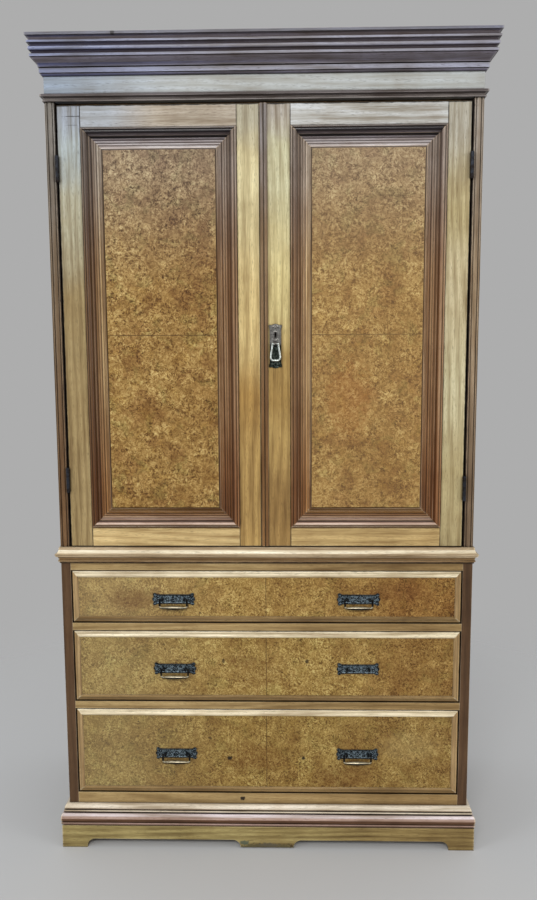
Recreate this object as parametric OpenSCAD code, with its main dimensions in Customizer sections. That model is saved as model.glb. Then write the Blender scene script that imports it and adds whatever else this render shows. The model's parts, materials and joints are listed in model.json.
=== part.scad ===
// Two-part wardrobe: a chest of three long drawers on a bracket plinth,
// a cupboard with two panelled doors, and a moulded cornice.
// Millimetres. The origin is at floor level under the middle of the whole piece,
// X runs to the right, the front faces -Y, Z is up.

/* [Carcass] */
// Width of the chest and of the cupboard
case_w = 1080; // [980:5:1180]
// Depth of the chest and of the cupboard
case_d = 520; // [470:5:580]
// Thickness of the carcass sides
side_t = 25; // [22:1:28]
// Thickness of the top and bottom boards
board_t = 18; // [15:1:22]
// Thickness of the back boards
back_t = 10; // [8:1:14]

/* [Plinth] */
// Height of the plinth boards
plinth_board_h = 63; // [50:1:80]
// Thickness of the plinth boards
plinth_board_t = 22; // [18:1:26]
// How far the plinth boards stand out from the carcass
plinth_board_out = 18.5; // [14:0.5:19]
// Height of the plinth moulding
plinth_mould_h = 57; // [45:1:70]
// How far the plinth moulding stands out from the carcass
plinth_mould_out = 21; // [20:0.5:26]
// Width of the corner feet at the floor
foot_w = 68; // [60:1:90]
// Width of the middle foot at the floor
mid_foot_w = 144; // [100:2:180]
// Wear under the middle foot
mid_foot_wear = 4; // [0:0.5:6]
// Height of the cut between the feet
arch_h = 25; // [23:1:35]
// Radius of the ends of the cut
arch_r = 21; // [10:1:22]
// Width of the square blocks glued in the corners
block_w = 40; // [30:1:60]

/* [Chest] */
// Height of the top drawer opening
opening_1_h = 144; // [130:1:170]
// Height of the middle drawer opening
opening_2_h = 198; // [170:1:220]
// Height of the bottom drawer opening
opening_3_h = 240; // [210:1:270]
// Height of the rails between the drawers
rail_h = 20; // [16:1:26]
// Height of the bottom rail
bottom_rail_h = 30; // [24:1:40]
// Height of the top rail, part of it behind the waist moulding
top_rail_h = 45; // [40:1:60]
// Depth of the rails from front to back
rail_d = 60; // [45:1:80]
// Width and height of the drawer runners
runner_w = 22; // [20:1:28]
// Height of the waist moulding
waist_h = 43; // [36:1:50]
// How far the waist moulding stands out from the carcass
waist_out = 13.5; // [10:0.5:16]

/* [Drawers] */
// Gap all round a drawer front
drawer_gap = 2; // [1.5:0.5:3]
// Thickness of the drawer fronts
drawer_front_t = 22; // [20:1:26]
// Thickness of the drawer sides
drawer_side_t = 12; // [10:1:15]
// Thickness of the drawer backs
drawer_back_t = 10; // [8:1:14]
// Thickness of the drawer bottoms
drawer_bottom_t = 7; // [5:1:9]
// Room left between the drawers and the back boards
drawer_room = 40; // [20:5:110]
// Width of the moulding round a drawer front
edge_w = 17; // [14:1:20]
// Spacing of the dovetails
tail_pitch = 38; // [32:1:46]
// Width of a dovetail at its root
tail_w = 20; // [16:1:22]
// Length of the lapped dovetails
tail_len = 14; // [11:1:16]

/* [Cupboard] */
// Height of the cupboard carcass
cup_h = 1122; // [1000:2:1250]
// Thickness of the door frames
door_t = 24; // [22:1:28]
// Width of the hinge stiles
stile_w = 57; // [50:1:70]
// Visible width of the meeting stiles
meeting_stile_w = 57; // [50:1:70]
// Height of the top rails of the doors
door_top_rail_h = 53; // [45:0.5:70]
// Height of the bottom rails of the doors
door_bottom_rail_h = 48; // [42:1:70]
// Gap under the doors
door_gap_low = 3; // [2:0.5:5]
// Gap over the doors
door_gap_high = 8.5; // [4:0.5:10]
// Gap between the doors
meeting_gap = 2; // [1.5:0.5:3]
// Width of the reeded strip where the doors meet
meeting_bead_w = 19; // [15:1:24]
// Thickness of the reeded strip
meeting_bead_t = 5; // [4:0.5:7]
// Width of the mouldings round the panels
panel_mould_w = 54; // [48:1:60]
// Thickness of the panels in their grooves
panel_t = 8; // [6:0.5:9]
// Outer diameter of the hanging rail
hang_d = 25; // [19:1:32]
// Height of the hanging rail below the cupboard top
hang_drop = 70; // [55:1:120]

/* [Cornice] */
// Height of the frieze boards
frieze_h = 60; // [50:1:75]
// Thickness of the frieze boards
frieze_t = 20; // [16:1:24]
// Height of the bead along the foot of the frieze
bead_h = 18; // [14:1:22]
// How far the bead stands out
bead_out = 9; // [7:0.5:12]
// Height of the cornice moulding
cornice_h = 93; // [80:1:110]
// How far the cornice stands out from the carcass
cornice_out = 34; // [28:1:44]
// Thickness of the dust board
dust_t = 10; // [6:1:14]

/* [Hinges] */
// Length of the hinges
hinge_len = 64; // [50:1:76]
// Width of a hinge leaf
hinge_leaf_w = 22; // [16:1:22]
// Thickness of a hinge leaf
hinge_leaf_t = 2; // [1.5:0.1:2.5]
// Radius of the hinge knuckles
knuckle_r = 4.5; // [4:0.1:5]
// Diameter of the hinge pins
hinge_pin_d = 5; // [4:0.1:5.5]
// Height of the upper hinges above the foot of the doors
hinge_high = 958; // [760:1:1000]
// Height of the left lower hinge above the foot of the doors
hinge_low_left = 175; // [60:1:260]
// Height of the right lower hinge above the foot of the doors
hinge_low_right = 152; // [60:1:260]

/* [Lock and bolts] */
// Height of the keyhole above the foot of the doors
keyhole_up = 549; // [480:1:600]
// Distance of the keyhole from the closing edge of the right door
keyhole_in = 37.5; // [36:0.5:40]
// Width of the lock case
lock_w = 56; // [50:1:60]
// Height of the lock case
lock_h = 70; // [60:1:90]
// Thickness of the lock case
lock_t = 12; // [10:1:13]
// Travel of the lock bolt
lock_throw = 9; // [6:1:10]
// Height of the escutcheon plate
plate_h = 112; // [104:1:130]
// Width of the escutcheon plate
plate_w = 33; // [26:1:34]
// Thickness of the metal plates
plate_t = 1.8; // [1.2:0.1:2.4]
// Length of the drop handle below its pivot
drop_len = 44; // [38:1:50]
// Half width of the drop handle at its foot, to the middle of its wire
drop_r = 12.2; // [11:0.1:15]
// Half width of the drop handle at its pivot, to the middle of its wire
drop_top = 7.2; // [7:0.1:9]
// Diameter of the drop handle's wire
drop_wire_d = 5; // [3.6:0.2:5.4]
// Length of the rods of the door bolts
bolt_len = 116; // [100:1:140]
// Diameter of the rods of the door bolts
bolt_d = 8; // [6:0.5:9]
// Travel of the door bolts
bolt_throw = 14; // [10:1:16]

/* [Drawer handles] */
// Distance of the handles from the middle of a drawer
handle_x = 244; // [200:1:280]
// How far the handles sit below the middle of a drawer
handle_down = 6; // [0:1:12]
// Width of a handle plate
handle_w = 113; // [102:1:125]
// Height of a handle plate at its ends
handle_h = 33; // [30:1:38]
// Height of a handle plate between its ends
handle_waist_h = 25.5; // [22:0.5:27]
// Distance of the bail posts from the middle of a plate
post_x = 29; // [26:1:32]
// Radius of the bail posts
post_r = 4; // [3.5:0.1:4.5]
// Distance of the bail pivot from the plate
pivot_off = 8.5; // [8:0.5:11]
// Distance of the bail arms from the middle of a plate
arm_x = 36; // [35:0.5:38]
// Depth of a bail below its pivot
bail_drop = 21.5; // [20:0.5:26]
// Diameter of the bail arms
bail_arm_d = 4.8; // [4:0.2:5.4]
// Diameter of the bail grip at its middle
bail_grip_d = 9.6; // [7:0.2:10]
// Diameter of the bail pins
bail_pin_d = 3; // [2.4:0.1:3.4]

/* [Fits] */
// Running clearance of pins in their holes, on the radius
pin_fit = 0.08; // [0.05:0.01:0.1]
// Clearance where a piece rests on its seat or slides past it
seat_fit = 0.3; // [0.2:0.05:0.5]
// Gap left at glued mitres and butt joints
glue_gap = 0.2; // [0.15:0.05:0.3]

/* [Hidden] */
$fn = 48;
arc_steps = 5;

ash = [0.72, 0.62, 0.44];
pale_ash = [0.74, 0.68, 0.54];
red_brown = [0.45, 0.28, 0.17];
burr = [0.66, 0.48, 0.24];
deal = [0.80, 0.68, 0.48];
cream = [0.83, 0.72, 0.52];
bronze = [0.23, 0.24, 0.22];
brass = [0.78, 0.70, 0.50];
steel = [0.55, 0.55, 0.53];

// Faces of the carcass. The cornice reaches furthest forward and the backs furthest
// back, so the whole piece stands with its middle over the origin.
half_w = case_w / 2;
front_y = cornice_out - (case_d + cornice_out) / 2;
back_y = (case_d + cornice_out) / 2;
inner_w = half_w - side_t;

// Levels of the plinth and the chest
chest_z = plinth_board_h + plinth_mould_h;
opening_h = [opening_1_h, opening_2_h, opening_3_h];
opening_3_z = chest_z + bottom_rail_h;
opening_2_z = opening_3_z + opening_3_h + rail_h;
opening_1_z = opening_2_z + opening_2_h + rail_h;
opening_z = [opening_1_z, opening_2_z, opening_3_z];
top_rail_z = opening_1_z + opening_1_h;
chest_top_z = top_rail_z + top_rail_h;
cup_z = chest_top_z + board_t;
cup_top_z = cup_z + cup_h;
cornice_z = cup_top_z + frieze_h;

// Widths of the strips of moulding that lie under what they carry
plinth_mould_seat = 20;
cornice_seat = 12;

// Doors
door_recess = 1;
door_y = front_y + door_recess;
door_back_y = door_y + door_t;
stop_y = door_back_y + door_recess;
door_z = cup_z + door_gap_low;
door_top_z = cup_top_z - door_gap_high;
hinge_gap = 2 * hinge_leaf_t + 0.4;
door_out = inner_w - hinge_gap;
meeting_x = meeting_bead_w / 2;
panel_in = meeting_x + meeting_stile_w;
LEFT = 0;
RIGHT = 1;
door_edges = [[-door_out, -meeting_x - meeting_gap], [-meeting_x, door_out]];
panel_edges = [[stile_w - door_out, -panel_in], [panel_in, door_out - stile_w]];
panel_z0 = door_z + door_bottom_rail_h;
panel_z1 = door_top_z - door_top_rail_h;
groove_y = door_y + 10;
groove_d = 8;
field_recess = 1.5;
tenon_len = 36;
tenon_t = 8;
tenon_y = door_back_y - tenon_t - 4;
tenon_shoulder = 10;

// Hinges
hinge_x = inner_w - hinge_gap / 2;
hinge_y = front_y - knuckle_r - 0.5;
leaf_y = front_y + 0.2;
hinge_up = [[hinge_low_left, hinge_high], [hinge_low_right, hinge_high]];
knuckles = 5;
knuckle_gap = 0.3;

// Lock, escutcheon and bolts
keyhole_x = keyhole_in - meeting_x;
keyhole_z = door_z + keyhole_up;
keyhole_r = 2.8;
keyhole_slot_w = 2.6;
keyhole_slot_h = 7;
keyhole_foot_r = 1.8;
lock_z = keyhole_z - lock_h / 2;
lock_bolt_h = 20;
lock_bolt_t = 6;
lock_bolt_len = 44;
lock_wall = (lock_t - lock_bolt_t) / 2;
mortise_play = 1;
plate_top_z = keyhole_z + 25.5;
drop_z = keyhole_z - 25;
drop_y = door_y - plate_t - 6;
drop_pin_r = 2;
drop_lug_r = 4.5;
drop_lug_w = 7;
drop_corner_r = 8;
bolt_x = -(panel_in + meeting_x + meeting_gap) / 2;
bolt_y = door_back_y + 8;
bolt_plate_w = 26;
bolt_plate_h = 96;
bolt_clear = 3;
keeper_h = 8;
keeper_w = 18;
keeper_in = 12;
bolt_knob_up = 38;
bolt_knob_d = 6;
bolt_knob_len = 9;

// Drawers
drawer_w = inner_w - drawer_gap;
drawer_back_of_front = front_y + drawer_front_t;
drawer_end_y = back_y - back_t - drawer_room;
edge_seat = 5;
bottom_up = 9;
bottom_groove = 5;
tail_flare = 1 / 6;
tail_margin = 14;
handle_y = front_y - plate_t;
pivot_y = handle_y - pivot_off;
bail_corner_r = 6;

// Members of the mouldings, from the foot upwards: shape, rise and stand-out.
// Rises and stand-outs are in parts, scaled to the height and stand-out asked for.
cornice_members = [
    ["convex", 5, 6], ["fillet", 1.5, 4.5], ["fillet", 11, 8.5], ["fillet", 2.5, 5.5],
    ["fillet", 3, 10.5], ["ogee", 17, 22.5], ["fillet", 6, 26], ["fillet", 1, 21.5],
    ["hollow", 6.5, 25.5], ["bead", 10, 28.5], ["fillet", 0.5, 24], ["hollow", 7, 30],
    ["fillet", 5, 31], ["fillet", 0.5, 26.5], ["hollow", 10.5, 33], ["fillet", 6, 34]];
bead_members = [
    ["fillet", 3, 4], ["fillet", 0.5, 1.5], ["hollow", 7.5, 7], ["fillet", 4, 9], ["convex", 3, 3]];
waist_members = [
    ["fillet", 4.5, 3], ["fillet", 4, 6], ["fillet", 0.5, 4.5], ["hollow", 9.5, 10],
    ["fillet", 4.5, 11.5], ["fillet", 2, 13.5], ["hollow", 16, 4], ["fillet", 2, 3]];
plinth_members = [
    ["fillet", 4, 17], ["bead", 6, 20.5], ["convex", 10, 21], ["convex", 14, 14],
    ["fillet", 3.5, 9.5], ["fillet", 4, 13.5], ["fillet", 2.5, 8.5], ["fillet", 1, 12],
    ["convex", 12, 1.5]];

// Round stretches between two points: a quarter that leaves the first point level,
// one that leaves it upright, a double curve, and a half-round nose
function quarter_level(a, b) = [for (i = [1:arc_steps])
    let (t = 90 * i / arc_steps)
    [a[0] + (b[0] - a[0]) * sin(t), a[1] + (b[1] - a[1]) * (1 - cos(t))]];
function quarter_upright(a, b) = [for (i = [1:arc_steps])
    let (t = 90 * i / arc_steps)
    [a[0] + (b[0] - a[0]) * (1 - cos(t)), a[1] + (b[1] - a[1]) * sin(t)]];
function double_curve(a, b) = [for (i = [1:2 * arc_steps])
    let (u = i / (2 * arc_steps))
    [a[0] + (b[0] - a[0]) * (1 - cos(180 * u)) / 2, a[1] + (b[1] - a[1]) * u]];
function half_round(a, b) = [for (i = [1:2 * arc_steps])
    let (t = 90 * i / arc_steps)
    [a[0] + (b[0] - a[0]) * sin(t), a[1] + (b[1] - a[1]) * (1 - cos(t)) / 2]];

// Points of one member from a to b
function member(shape, a, b) =
    shape == "fillet" ? [[b[0], a[1]], b] :
    shape == "ogee" ? double_curve(a, b) :
    shape == "bead" ? half_round(a, b) :
    (shape == "convex") == (b[0] > a[0]) ? quarter_level(a, b) : quarter_upright(a, b);

function climb(members, i, at, k_out, k_up) =
    i == len(members) ? [] :
    let (b = [members[i][2] * k_out, at[1] + members[i][1] * k_up])
    let (points = member(members[i][0], at, b))
    concat(points, climb(members, i + 1, points[len(points) - 1], k_out, k_up));

function total(members, i = 0) = i == len(members) ? 0 : members[i][1] + total(members, i + 1);

// Section of a moulding: [stand-out, height] points, with its back at -seat
function section(members, start, h, out, seat) =
    let (k_out = out / max([for (m = members) m[2]]))
    concat([[-seat, 0], [start * k_out, 0]],
        climb(members, 0, [start * k_out, 0], k_out, h / total(members)),
        [[-seat, h]]);

module block(x, y, z) {
    translate([x[0], y[0], z[0]]) cube([x[1] - x[0], y[1] - y[0], z[1] - z[0]]);
}

module both_sides() {
    children();
    mirror([1, 0, 0]) children();
}

// A moulding round the front and the two sides of the carcass, mitred at the corners
module surround(profile, z, h, out, seat) {
    e = glue_gap / 2;
    o = out + 1;
    intersection() {
        translate([-half_w - o, front_y, z]) rotate([90, 0, 90])
            linear_extrude(2 * (half_w + o)) polygon([for (q = profile) [-q[0], q[1]]]);
        translate([0, 0, z - 1]) linear_extrude(h + 2) polygon([
            [e - half_w - o, front_y - o], [half_w + o - e, front_y - o],
            [half_w - seat - 1 - e, front_y + seat + 1], [e - half_w + seat + 1, front_y + seat + 1]]);
    }
    both_sides() intersection() {
        translate([half_w, back_y, z]) rotate([90, 0, 0])
            linear_extrude(case_d + o) polygon(profile);
        translate([0, 0, z - 1]) linear_extrude(h + 2) polygon([
            [half_w + o, front_y - o + e], [half_w + o, back_y + 1],
            [half_w - seat - 1, back_y + 1], [half_w - seat - 1, front_y + seat + 1 + e]]);
    }
}

// Four mitred strips round the inside of a rectangle that faces the front.
// The section's points are [distance in from the edge, height out of the face].
module mitred_frame(x, y, z, profile, w, depth) {
    e = glue_gap / 2;
    x_mid = (x[0] + x[1]) / 2;
    z_mid = (z[0] + z[1]) / 2;
    half = [(x[1] - x[0]) / 2, (z[1] - z[0]) / 2];
    for (flip = [0, 1]) translate([x_mid, y, z_mid]) mirror([0, 0, flip]) intersection() {
        translate([-half[0], 0, -half[1]]) rotate([90, 0, 90])
            linear_extrude(2 * half[0]) polygon([for (q = profile) [-q[1], q[0]]]);
        translate([0, depth, 0]) rotate([90, 0, 0]) linear_extrude(2 * depth) polygon([
            [e - half[0] - 1, -half[1] - 1], [half[0] + 1 - e, -half[1] - 1],
            [half[0] - w - 1 - e, w + 1 - half[1]], [e - half[0] + w + 1, w + 1 - half[1]]]);
    }
    for (flip = [0, 1]) translate([x_mid, y, z_mid]) mirror([flip, 0, 0]) intersection() {
        translate([-half[0], 0, -half[1]])
            linear_extrude(2 * half[1]) polygon([for (q = profile) [q[0], -q[1]]]);
        translate([0, depth, 0]) rotate([90, 0, 0]) linear_extrude(2 * depth) polygon([
            [-half[0] - 1, e - half[1] - 1], [-half[0] - 1, half[1] + 1 - e],
            [w + 1 - half[0], half[1] - w - 1 - e], [w + 1 - half[0], w + 1 + e - half[1]]]);
    }
}

// Outline of the cut between two feet, from x0 to x1 along the floor
module arch(x0, x1) {
    translate([x0, -1]) square([x1 - x0, arch_h - arch_r + 1]);
    translate([x0 + arch_r, -1]) square([x1 - x0 - 2 * arch_r, arch_h + 1]);
    for (x = [x0 + arch_r, x1 - arch_r]) translate([x, arch_h - arch_r]) circle(arch_r);
}

module plinth_front() {
    w = half_w + plinth_board_out;
    y = front_y - plinth_board_out;
    color(ash) intersection() {
        difference() {
            block([-w, w], [y, y + plinth_board_t], [0, plinth_board_h]);
            translate([0, y + plinth_board_t + 1, 0]) rotate([90, 0, 0])
                linear_extrude(plinth_board_t + 2) both_sides()
                    arch(mid_foot_w / 2, w - foot_w);
            block([-mid_foot_w, mid_foot_w], [y - 1, y + plinth_board_t + 1], [-1, mid_foot_wear]);
        }
        translate([0, 0, -1]) linear_extrude(plinth_board_h + 2) polygon([
            [-w, y], [w, y], [w - plinth_board_t, y + plinth_board_t],
            [plinth_board_t - w, y + plinth_board_t]]);
    }
}

module plinth_sides() {
    w = half_w + plinth_board_out;
    y = front_y - plinth_board_out;
    color(ash) both_sides() intersection() {
        difference() {
            block([w - plinth_board_t, w], [y, back_y], [0, plinth_board_h]);
            translate([w - plinth_board_t - 1, 0, 0]) rotate([90, 0, 90])
                linear_extrude(plinth_board_t + 2) arch(y + foot_w, back_y - foot_w);
        }
        translate([0, 0, -1]) linear_extrude(plinth_board_h + 2) polygon([
            [w, y], [w, back_y], [w - plinth_board_t, back_y], [w - plinth_board_t, y + plinth_board_t]]);
    }
}

module plinth_back() {
    w = half_w + plinth_board_out - plinth_board_t;
    color(deal) difference() {
        block([-w, w], [back_y - plinth_board_t, back_y], [0, chest_z]);
        both_sides() block([half_w - plinth_mould_seat, w + 1],
            [back_y - plinth_board_t - 1, back_y + 1], [plinth_board_h, chest_z + 1]);
        translate([0, back_y + 1, 0]) rotate([90, 0, 0]) linear_extrude(plinth_board_t + 2)
            arch(foot_w - w, w - foot_w);
    }
}

// Blocks glued in the four corners, behind the feet
module plinth_blocks() {
    w = half_w + plinth_board_out - plinth_board_t;
    y = front_y - plinth_board_out + plinth_board_t;
    color(deal) both_sides() {
        block([w - block_w, w], [y, y + block_w], [0, plinth_board_h]);
        block([w - block_w, w], [back_y - plinth_board_t - block_w, back_y - plinth_board_t],
            [0, plinth_board_h]);
    }
}

module plinth_moulding() {
    color(red_brown) surround(
        section(plinth_members, 16, plinth_mould_h, plinth_mould_out, plinth_mould_seat),
        plinth_board_h, plinth_mould_h, plinth_mould_out, plinth_mould_seat);
}

module chest_sides() {
    color(red_brown) both_sides()
        block([inner_w, half_w], [front_y, back_y], [chest_z, chest_top_z]);
}

module chest_bottom() {
    color(deal) block([-inner_w, inner_w], [front_y + rail_d, back_y - back_t],
        [chest_z, chest_z + board_t]);
}

module chest_top() {
    color(ash) block([-half_w, half_w], [front_y, back_y], [chest_top_z, cup_z]);
}

module chest_back() {
    color(deal) block([-inner_w, inner_w], [back_y - back_t, back_y], [chest_z, chest_top_z]);
}

module drawer_rails() {
    y = [front_y, front_y + rail_d];
    color(ash) {
        block([-inner_w, inner_w], y, [chest_z, opening_3_z]);
        block([-inner_w, inner_w], y, [opening_2_z - rail_h, opening_2_z]);
        block([-inner_w, inner_w], y, [opening_1_z - rail_h, opening_1_z]);
        block([-inner_w, inner_w], y, [top_rail_z, chest_top_z]);
    }
}

module drawer_runners() {
    color(deal) both_sides() for (z = opening_z)
        block([inner_w - runner_w, inner_w], [front_y + rail_d, back_y - back_t],
            [z - (z == opening_3_z ? bottom_rail_h - board_t : rail_h), z]);
}

module waist_moulding() {
    color(red_brown) surround(section(waist_members, 3, waist_h, waist_out, 0),
        cup_z - waist_h, waist_h, waist_out, 0);
}

// Lowest and highest edge of a drawer front, and of its sides
function drawer_z(n) = [opening_z[n - 1] + drawer_gap, opening_z[n - 1] + opening_h[n - 1] - drawer_gap];
function box_z(n) = [opening_z[n - 1] + seat_fit, drawer_z(n)[1] - 4];

// Dovetails of one drawer side, seen along X, pointing away from y = 0 by len
module tails(n, len, ease) {
    z = box_z(n);
    count = floor((z[1] - z[0] - 2 * tail_margin - tail_w) / tail_pitch) + 1;
    first = (z[0] + z[1] - (count - 1) * tail_pitch) / 2;
    root = tail_w / 2 + ease;
    tip = root + len * tail_flare;
    for (i = [0:count - 1]) translate([0, first + i * tail_pitch])
        polygon([[-0.5, -root], [0, -root], [len + ease, -tip], [len + ease, tip], [0, root], [-0.5, root]]);
}

module side_tails(n, ease) {
    translate([drawer_w - drawer_side_t, drawer_back_of_front, 0]) rotate([90, 0, 90])
        linear_extrude(drawer_side_t) mirror([1, 0]) tails(n, tail_len, ease);
}

module rear_tails(n, ease) {
    translate([drawer_w - drawer_side_t - ease, drawer_end_y - drawer_back_t, 0]) rotate([90, 0, 90])
        linear_extrude(drawer_side_t + ease) tails(n, drawer_back_t, ease);
}

module drawer_front(n) {
    z = drawer_z(n);
    floor_z = box_z(n)[0] + bottom_up;
    color(burr) difference() {
        block([-drawer_w, drawer_w], [front_y, drawer_back_of_front], z);
        both_sides() side_tails(n, 0);
        difference() {
            block([-drawer_w - 1, drawer_w + 1], [front_y - 1, front_y + edge_seat], [z[0] - 1, z[1] + 1]);
            block([edge_w - drawer_w, drawer_w - edge_w], [front_y - 2, front_y + edge_seat + 1],
                [z[0] + edge_w, z[1] - edge_w]);
        }
        block([-drawer_w + drawer_side_t, drawer_w - drawer_side_t],
            [drawer_back_of_front - bottom_groove, drawer_back_of_front + 1],
            [floor_z, floor_z + drawer_bottom_t]);
    }
}

// The strip round a drawer front: two rounded bevels that rise from the edge to a crest,
// and a step down to the veneer. Steps are in parts of its width, heights in mm.
edge_steps = [[0, -3.2], [0.1, -2.1], [0.22, -1.2], [0.34, -0.6], [0.38, -0.9], [0.42, -0.2],
    [0.54, 1.3], [0.66, 2.4], [0.76, 3], [0.84, 3], [0.9, 2], [0.94, 0.8], [1, 0.6]];
edge_profile = concat([[0, -edge_seat]], [for (q = edge_steps) [q[0] * edge_w, q[1]]],
    [[edge_w, -edge_seat]]);

module drawer_edge_moulding(n) {
    color(cream) mitred_frame([-drawer_w, drawer_w], front_y, drawer_z(n), edge_profile, edge_w, 10);
}

// Two sides dovetailed to the front, and the back between their rear tails
module drawer_box(n) {
    z = box_z(n);
    floor_z = z[0] + bottom_up;
    inside = drawer_w - drawer_side_t;
    color(deal) {
        both_sides() difference() {
            union() {
                block([inside, drawer_w], [drawer_back_of_front, drawer_end_y - drawer_back_t], z);
                side_tails(n, 0);
                rear_tails(n, 0);
            }
            block([inside - 1, inside + bottom_groove],
                [drawer_back_of_front - tail_len - 1, drawer_end_y + 1],
                [floor_z, floor_z + drawer_bottom_t]);
        }
        difference() {
            block([-drawer_w, drawer_w], [drawer_end_y - drawer_back_t + glue_gap, drawer_end_y],
                [floor_z + drawer_bottom_t, z[1] - 6]);
            both_sides() rear_tails(n, glue_gap);
        }
    }
}

module drawer_bottom(n) {
    floor_z = box_z(n)[0] + bottom_up;
    inside = drawer_w - drawer_side_t;
    color(deal) union() {
        block([-inside - bottom_groove, inside + bottom_groove],
            [drawer_back_of_front, drawer_end_y], [floor_z, floor_z + drawer_bottom_t]);
        block([-inside, inside], [drawer_back_of_front - bottom_groove, drawer_back_of_front + 1],
            [floor_z, floor_z + drawer_bottom_t]);
    }
}

function handle_z(n) = (drawer_z(n)[0] + drawer_z(n)[1]) / 2 - handle_down;

// One handle plate: nearly straight long edges that flare out to two round ears on each
// end, with a broad rounded tip between them
module handle_outline() {
    e = handle_w / 2;
    h = handle_h / 2;
    c = handle_waist_h / 2;
    ear = 4.2;
    tip = 0.42 * c;
    edge = [[0, c], [0.4 * e, c - 0.3], [0.7 * e, c - 0.2], [0.78 * e, c + 0.6]];
    round_ear = [for (t = [120:-30:-60]) [e - 2 - ear + ear * cos(t), h - ear + ear * sin(t)]];
    round_tip = [for (t = [75:-15:0]) [e - tip + tip * cos(t), tip * sin(t)]];
    corner = concat(edge, round_ear, round_tip);
    n = len(corner);
    below = [for (i = [n - 2:-1:0]) [corner[i][0], -corner[i][1]]];
    right = concat(corner, below);
    polygon(concat(right, [for (i = [len(right) - 2:-1:1]) [-right[i][0], right[i][1]]]));
}

module handle_post() {
    difference() {
        union() {
            rotate([90, 0, 0]) cylinder(h = pivot_off, r = post_r);
            translate([0, -pivot_off, 0]) sphere(post_r);
        }
        translate([-post_r - 1, -pivot_off, 0]) rotate([0, 90, 0])
            cylinder(h = 2 * post_r + 2, r = bail_pin_d / 2 + 2 * pin_fit);
    }
}

module drawer_handle_plates(n) {
    color(bronze) for (at = [-handle_x, handle_x]) translate([at, handle_y, handle_z(n)]) {
        translate([0, plate_t, 0]) rotate([90, 0, 0]) linear_extrude(plate_t) handle_outline();
        for (x = [-post_x, post_x]) translate([x, 0, 0]) handle_post();
    }
}

// The bail hangs from pins that turn in the two posts
module drawer_bail(n, s) {
    arm_r = bail_arm_d / 2;
    grip = arm_x - bail_corner_r;
    color(brass) translate([s * handle_x, pivot_y, handle_z(n)]) {
        both_sides() {
            translate([post_x - post_r, 0, 0]) rotate([0, 90, 0])
                cylinder(h = arm_x - post_x + post_r, r = bail_pin_d / 2);
            translate([arm_x, 0, 0]) sphere(arm_r + 0.4);
            translate([arm_x, 0, bail_corner_r - bail_drop])
                cylinder(h = bail_drop - bail_corner_r, r = arm_r);
            translate([grip, 0, bail_corner_r - bail_drop]) rotate([90, 0, 0])
                rotate_extrude(angle = -90) translate([bail_corner_r, 0]) circle(arm_r);
        }
        translate([-grip, 0, -bail_drop]) rotate([0, 90, 0]) rotate_extrude()
            polygon(concat([[0, 0]], [for (i = [0:10])
                [arm_r + (bail_grip_d / 2 - arm_r) * sin(18 * i), 2 * grip * i / 10]], [[0, 2 * grip]]));
    }
}

// Front edge of a cupboard side: a bead, a broad reed and a bead, between quirks.
// Points run across the edge from its inner to its outer corner, [across, depth].
reed_bead = 0.16 * side_t;
reed_quirk = 0.06 * side_t;
reed_wide = side_t - 2 * reed_bead - 4 * reed_quirk;
function reed(at, w, rise) = concat([[at, 3]], [for (i = [0:2 * arc_steps])
    let (t = 90 * i / arc_steps)
    [at + w * (1 - cos(t)) / 2, 2.4 - rise * sin(t)]], [[at + w, 3]]);
reeded_edge = concat(
    [[0, 1.5], [reed_quirk / 2, 1.5], [reed_quirk / 2, 3]],
    reed(reed_quirk, reed_bead, 1.8),
    reed(2 * reed_quirk + reed_bead, reed_wide, 2.4),
    reed(3 * reed_quirk + reed_bead + reed_wide, reed_bead, 1.8),
    [[side_t - reed_quirk / 2, 3], [side_t - reed_quirk / 2, 1.5], [side_t, 1.5]]);

module cupboard_sides() {
    color(red_brown) both_sides() translate([0, 0, cup_z]) linear_extrude(cup_h) polygon(concat(
        [for (q = reeded_edge) [inner_w + q[0], front_y + q[1]]],
        [[half_w, back_y], [inner_w, back_y]]));
}

module cupboard_bottom() {
    color(deal) difference() {
        block([-inner_w, inner_w], [stop_y, back_y - back_t], [cup_z, cup_z + board_t]);
        translate([bolt_x, bolt_y, cup_z - 1]) cylinder(h = board_t + 2, r = bolt_d / 2 + 0.6);
    }
}

module cupboard_top() {
    color(deal) difference() {
        block([-inner_w, inner_w], [stop_y, back_y - back_t], [cup_top_z - board_t, cup_top_z]);
        translate([bolt_x, bolt_y, cup_top_z - board_t - 1])
            cylinder(h = board_t + 2, r = bolt_d / 2 + 0.6);
    }
}

module cupboard_back() {
    color(deal) block([-inner_w, inner_w], [back_y - back_t, back_y], [cup_z, cup_top_z]);
}

// A brass tube that lies in two turned sockets
module hanging_rail() {
    socket_w = 12;
    socket_r = hang_d / 2 + 7;
    color(brass) translate([0, (stop_y + back_y) / 2, cup_top_z - board_t - hang_drop]) rotate([0, 90, 0]) {
        difference() {
            translate([0, 0, seat_fit - inner_w + 2])
                cylinder(h = 2 * (inner_w - 2 - seat_fit), r = hang_d / 2);
            translate([0, 0, -inner_w]) cylinder(h = 2 * inner_w, r = hang_d / 2 - 1.5);
        }
        for (flip = [0, 1]) mirror([0, 0, flip]) difference() {
            translate([0, 0, inner_w - socket_w]) cylinder(h = socket_w, r1 = socket_r - 3, r2 = socket_r);
            translate([0, 0, inner_w - socket_w - 1])
                cylinder(h = socket_w - 1, r = hang_d / 2 + seat_fit);
        }
    }
}

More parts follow.
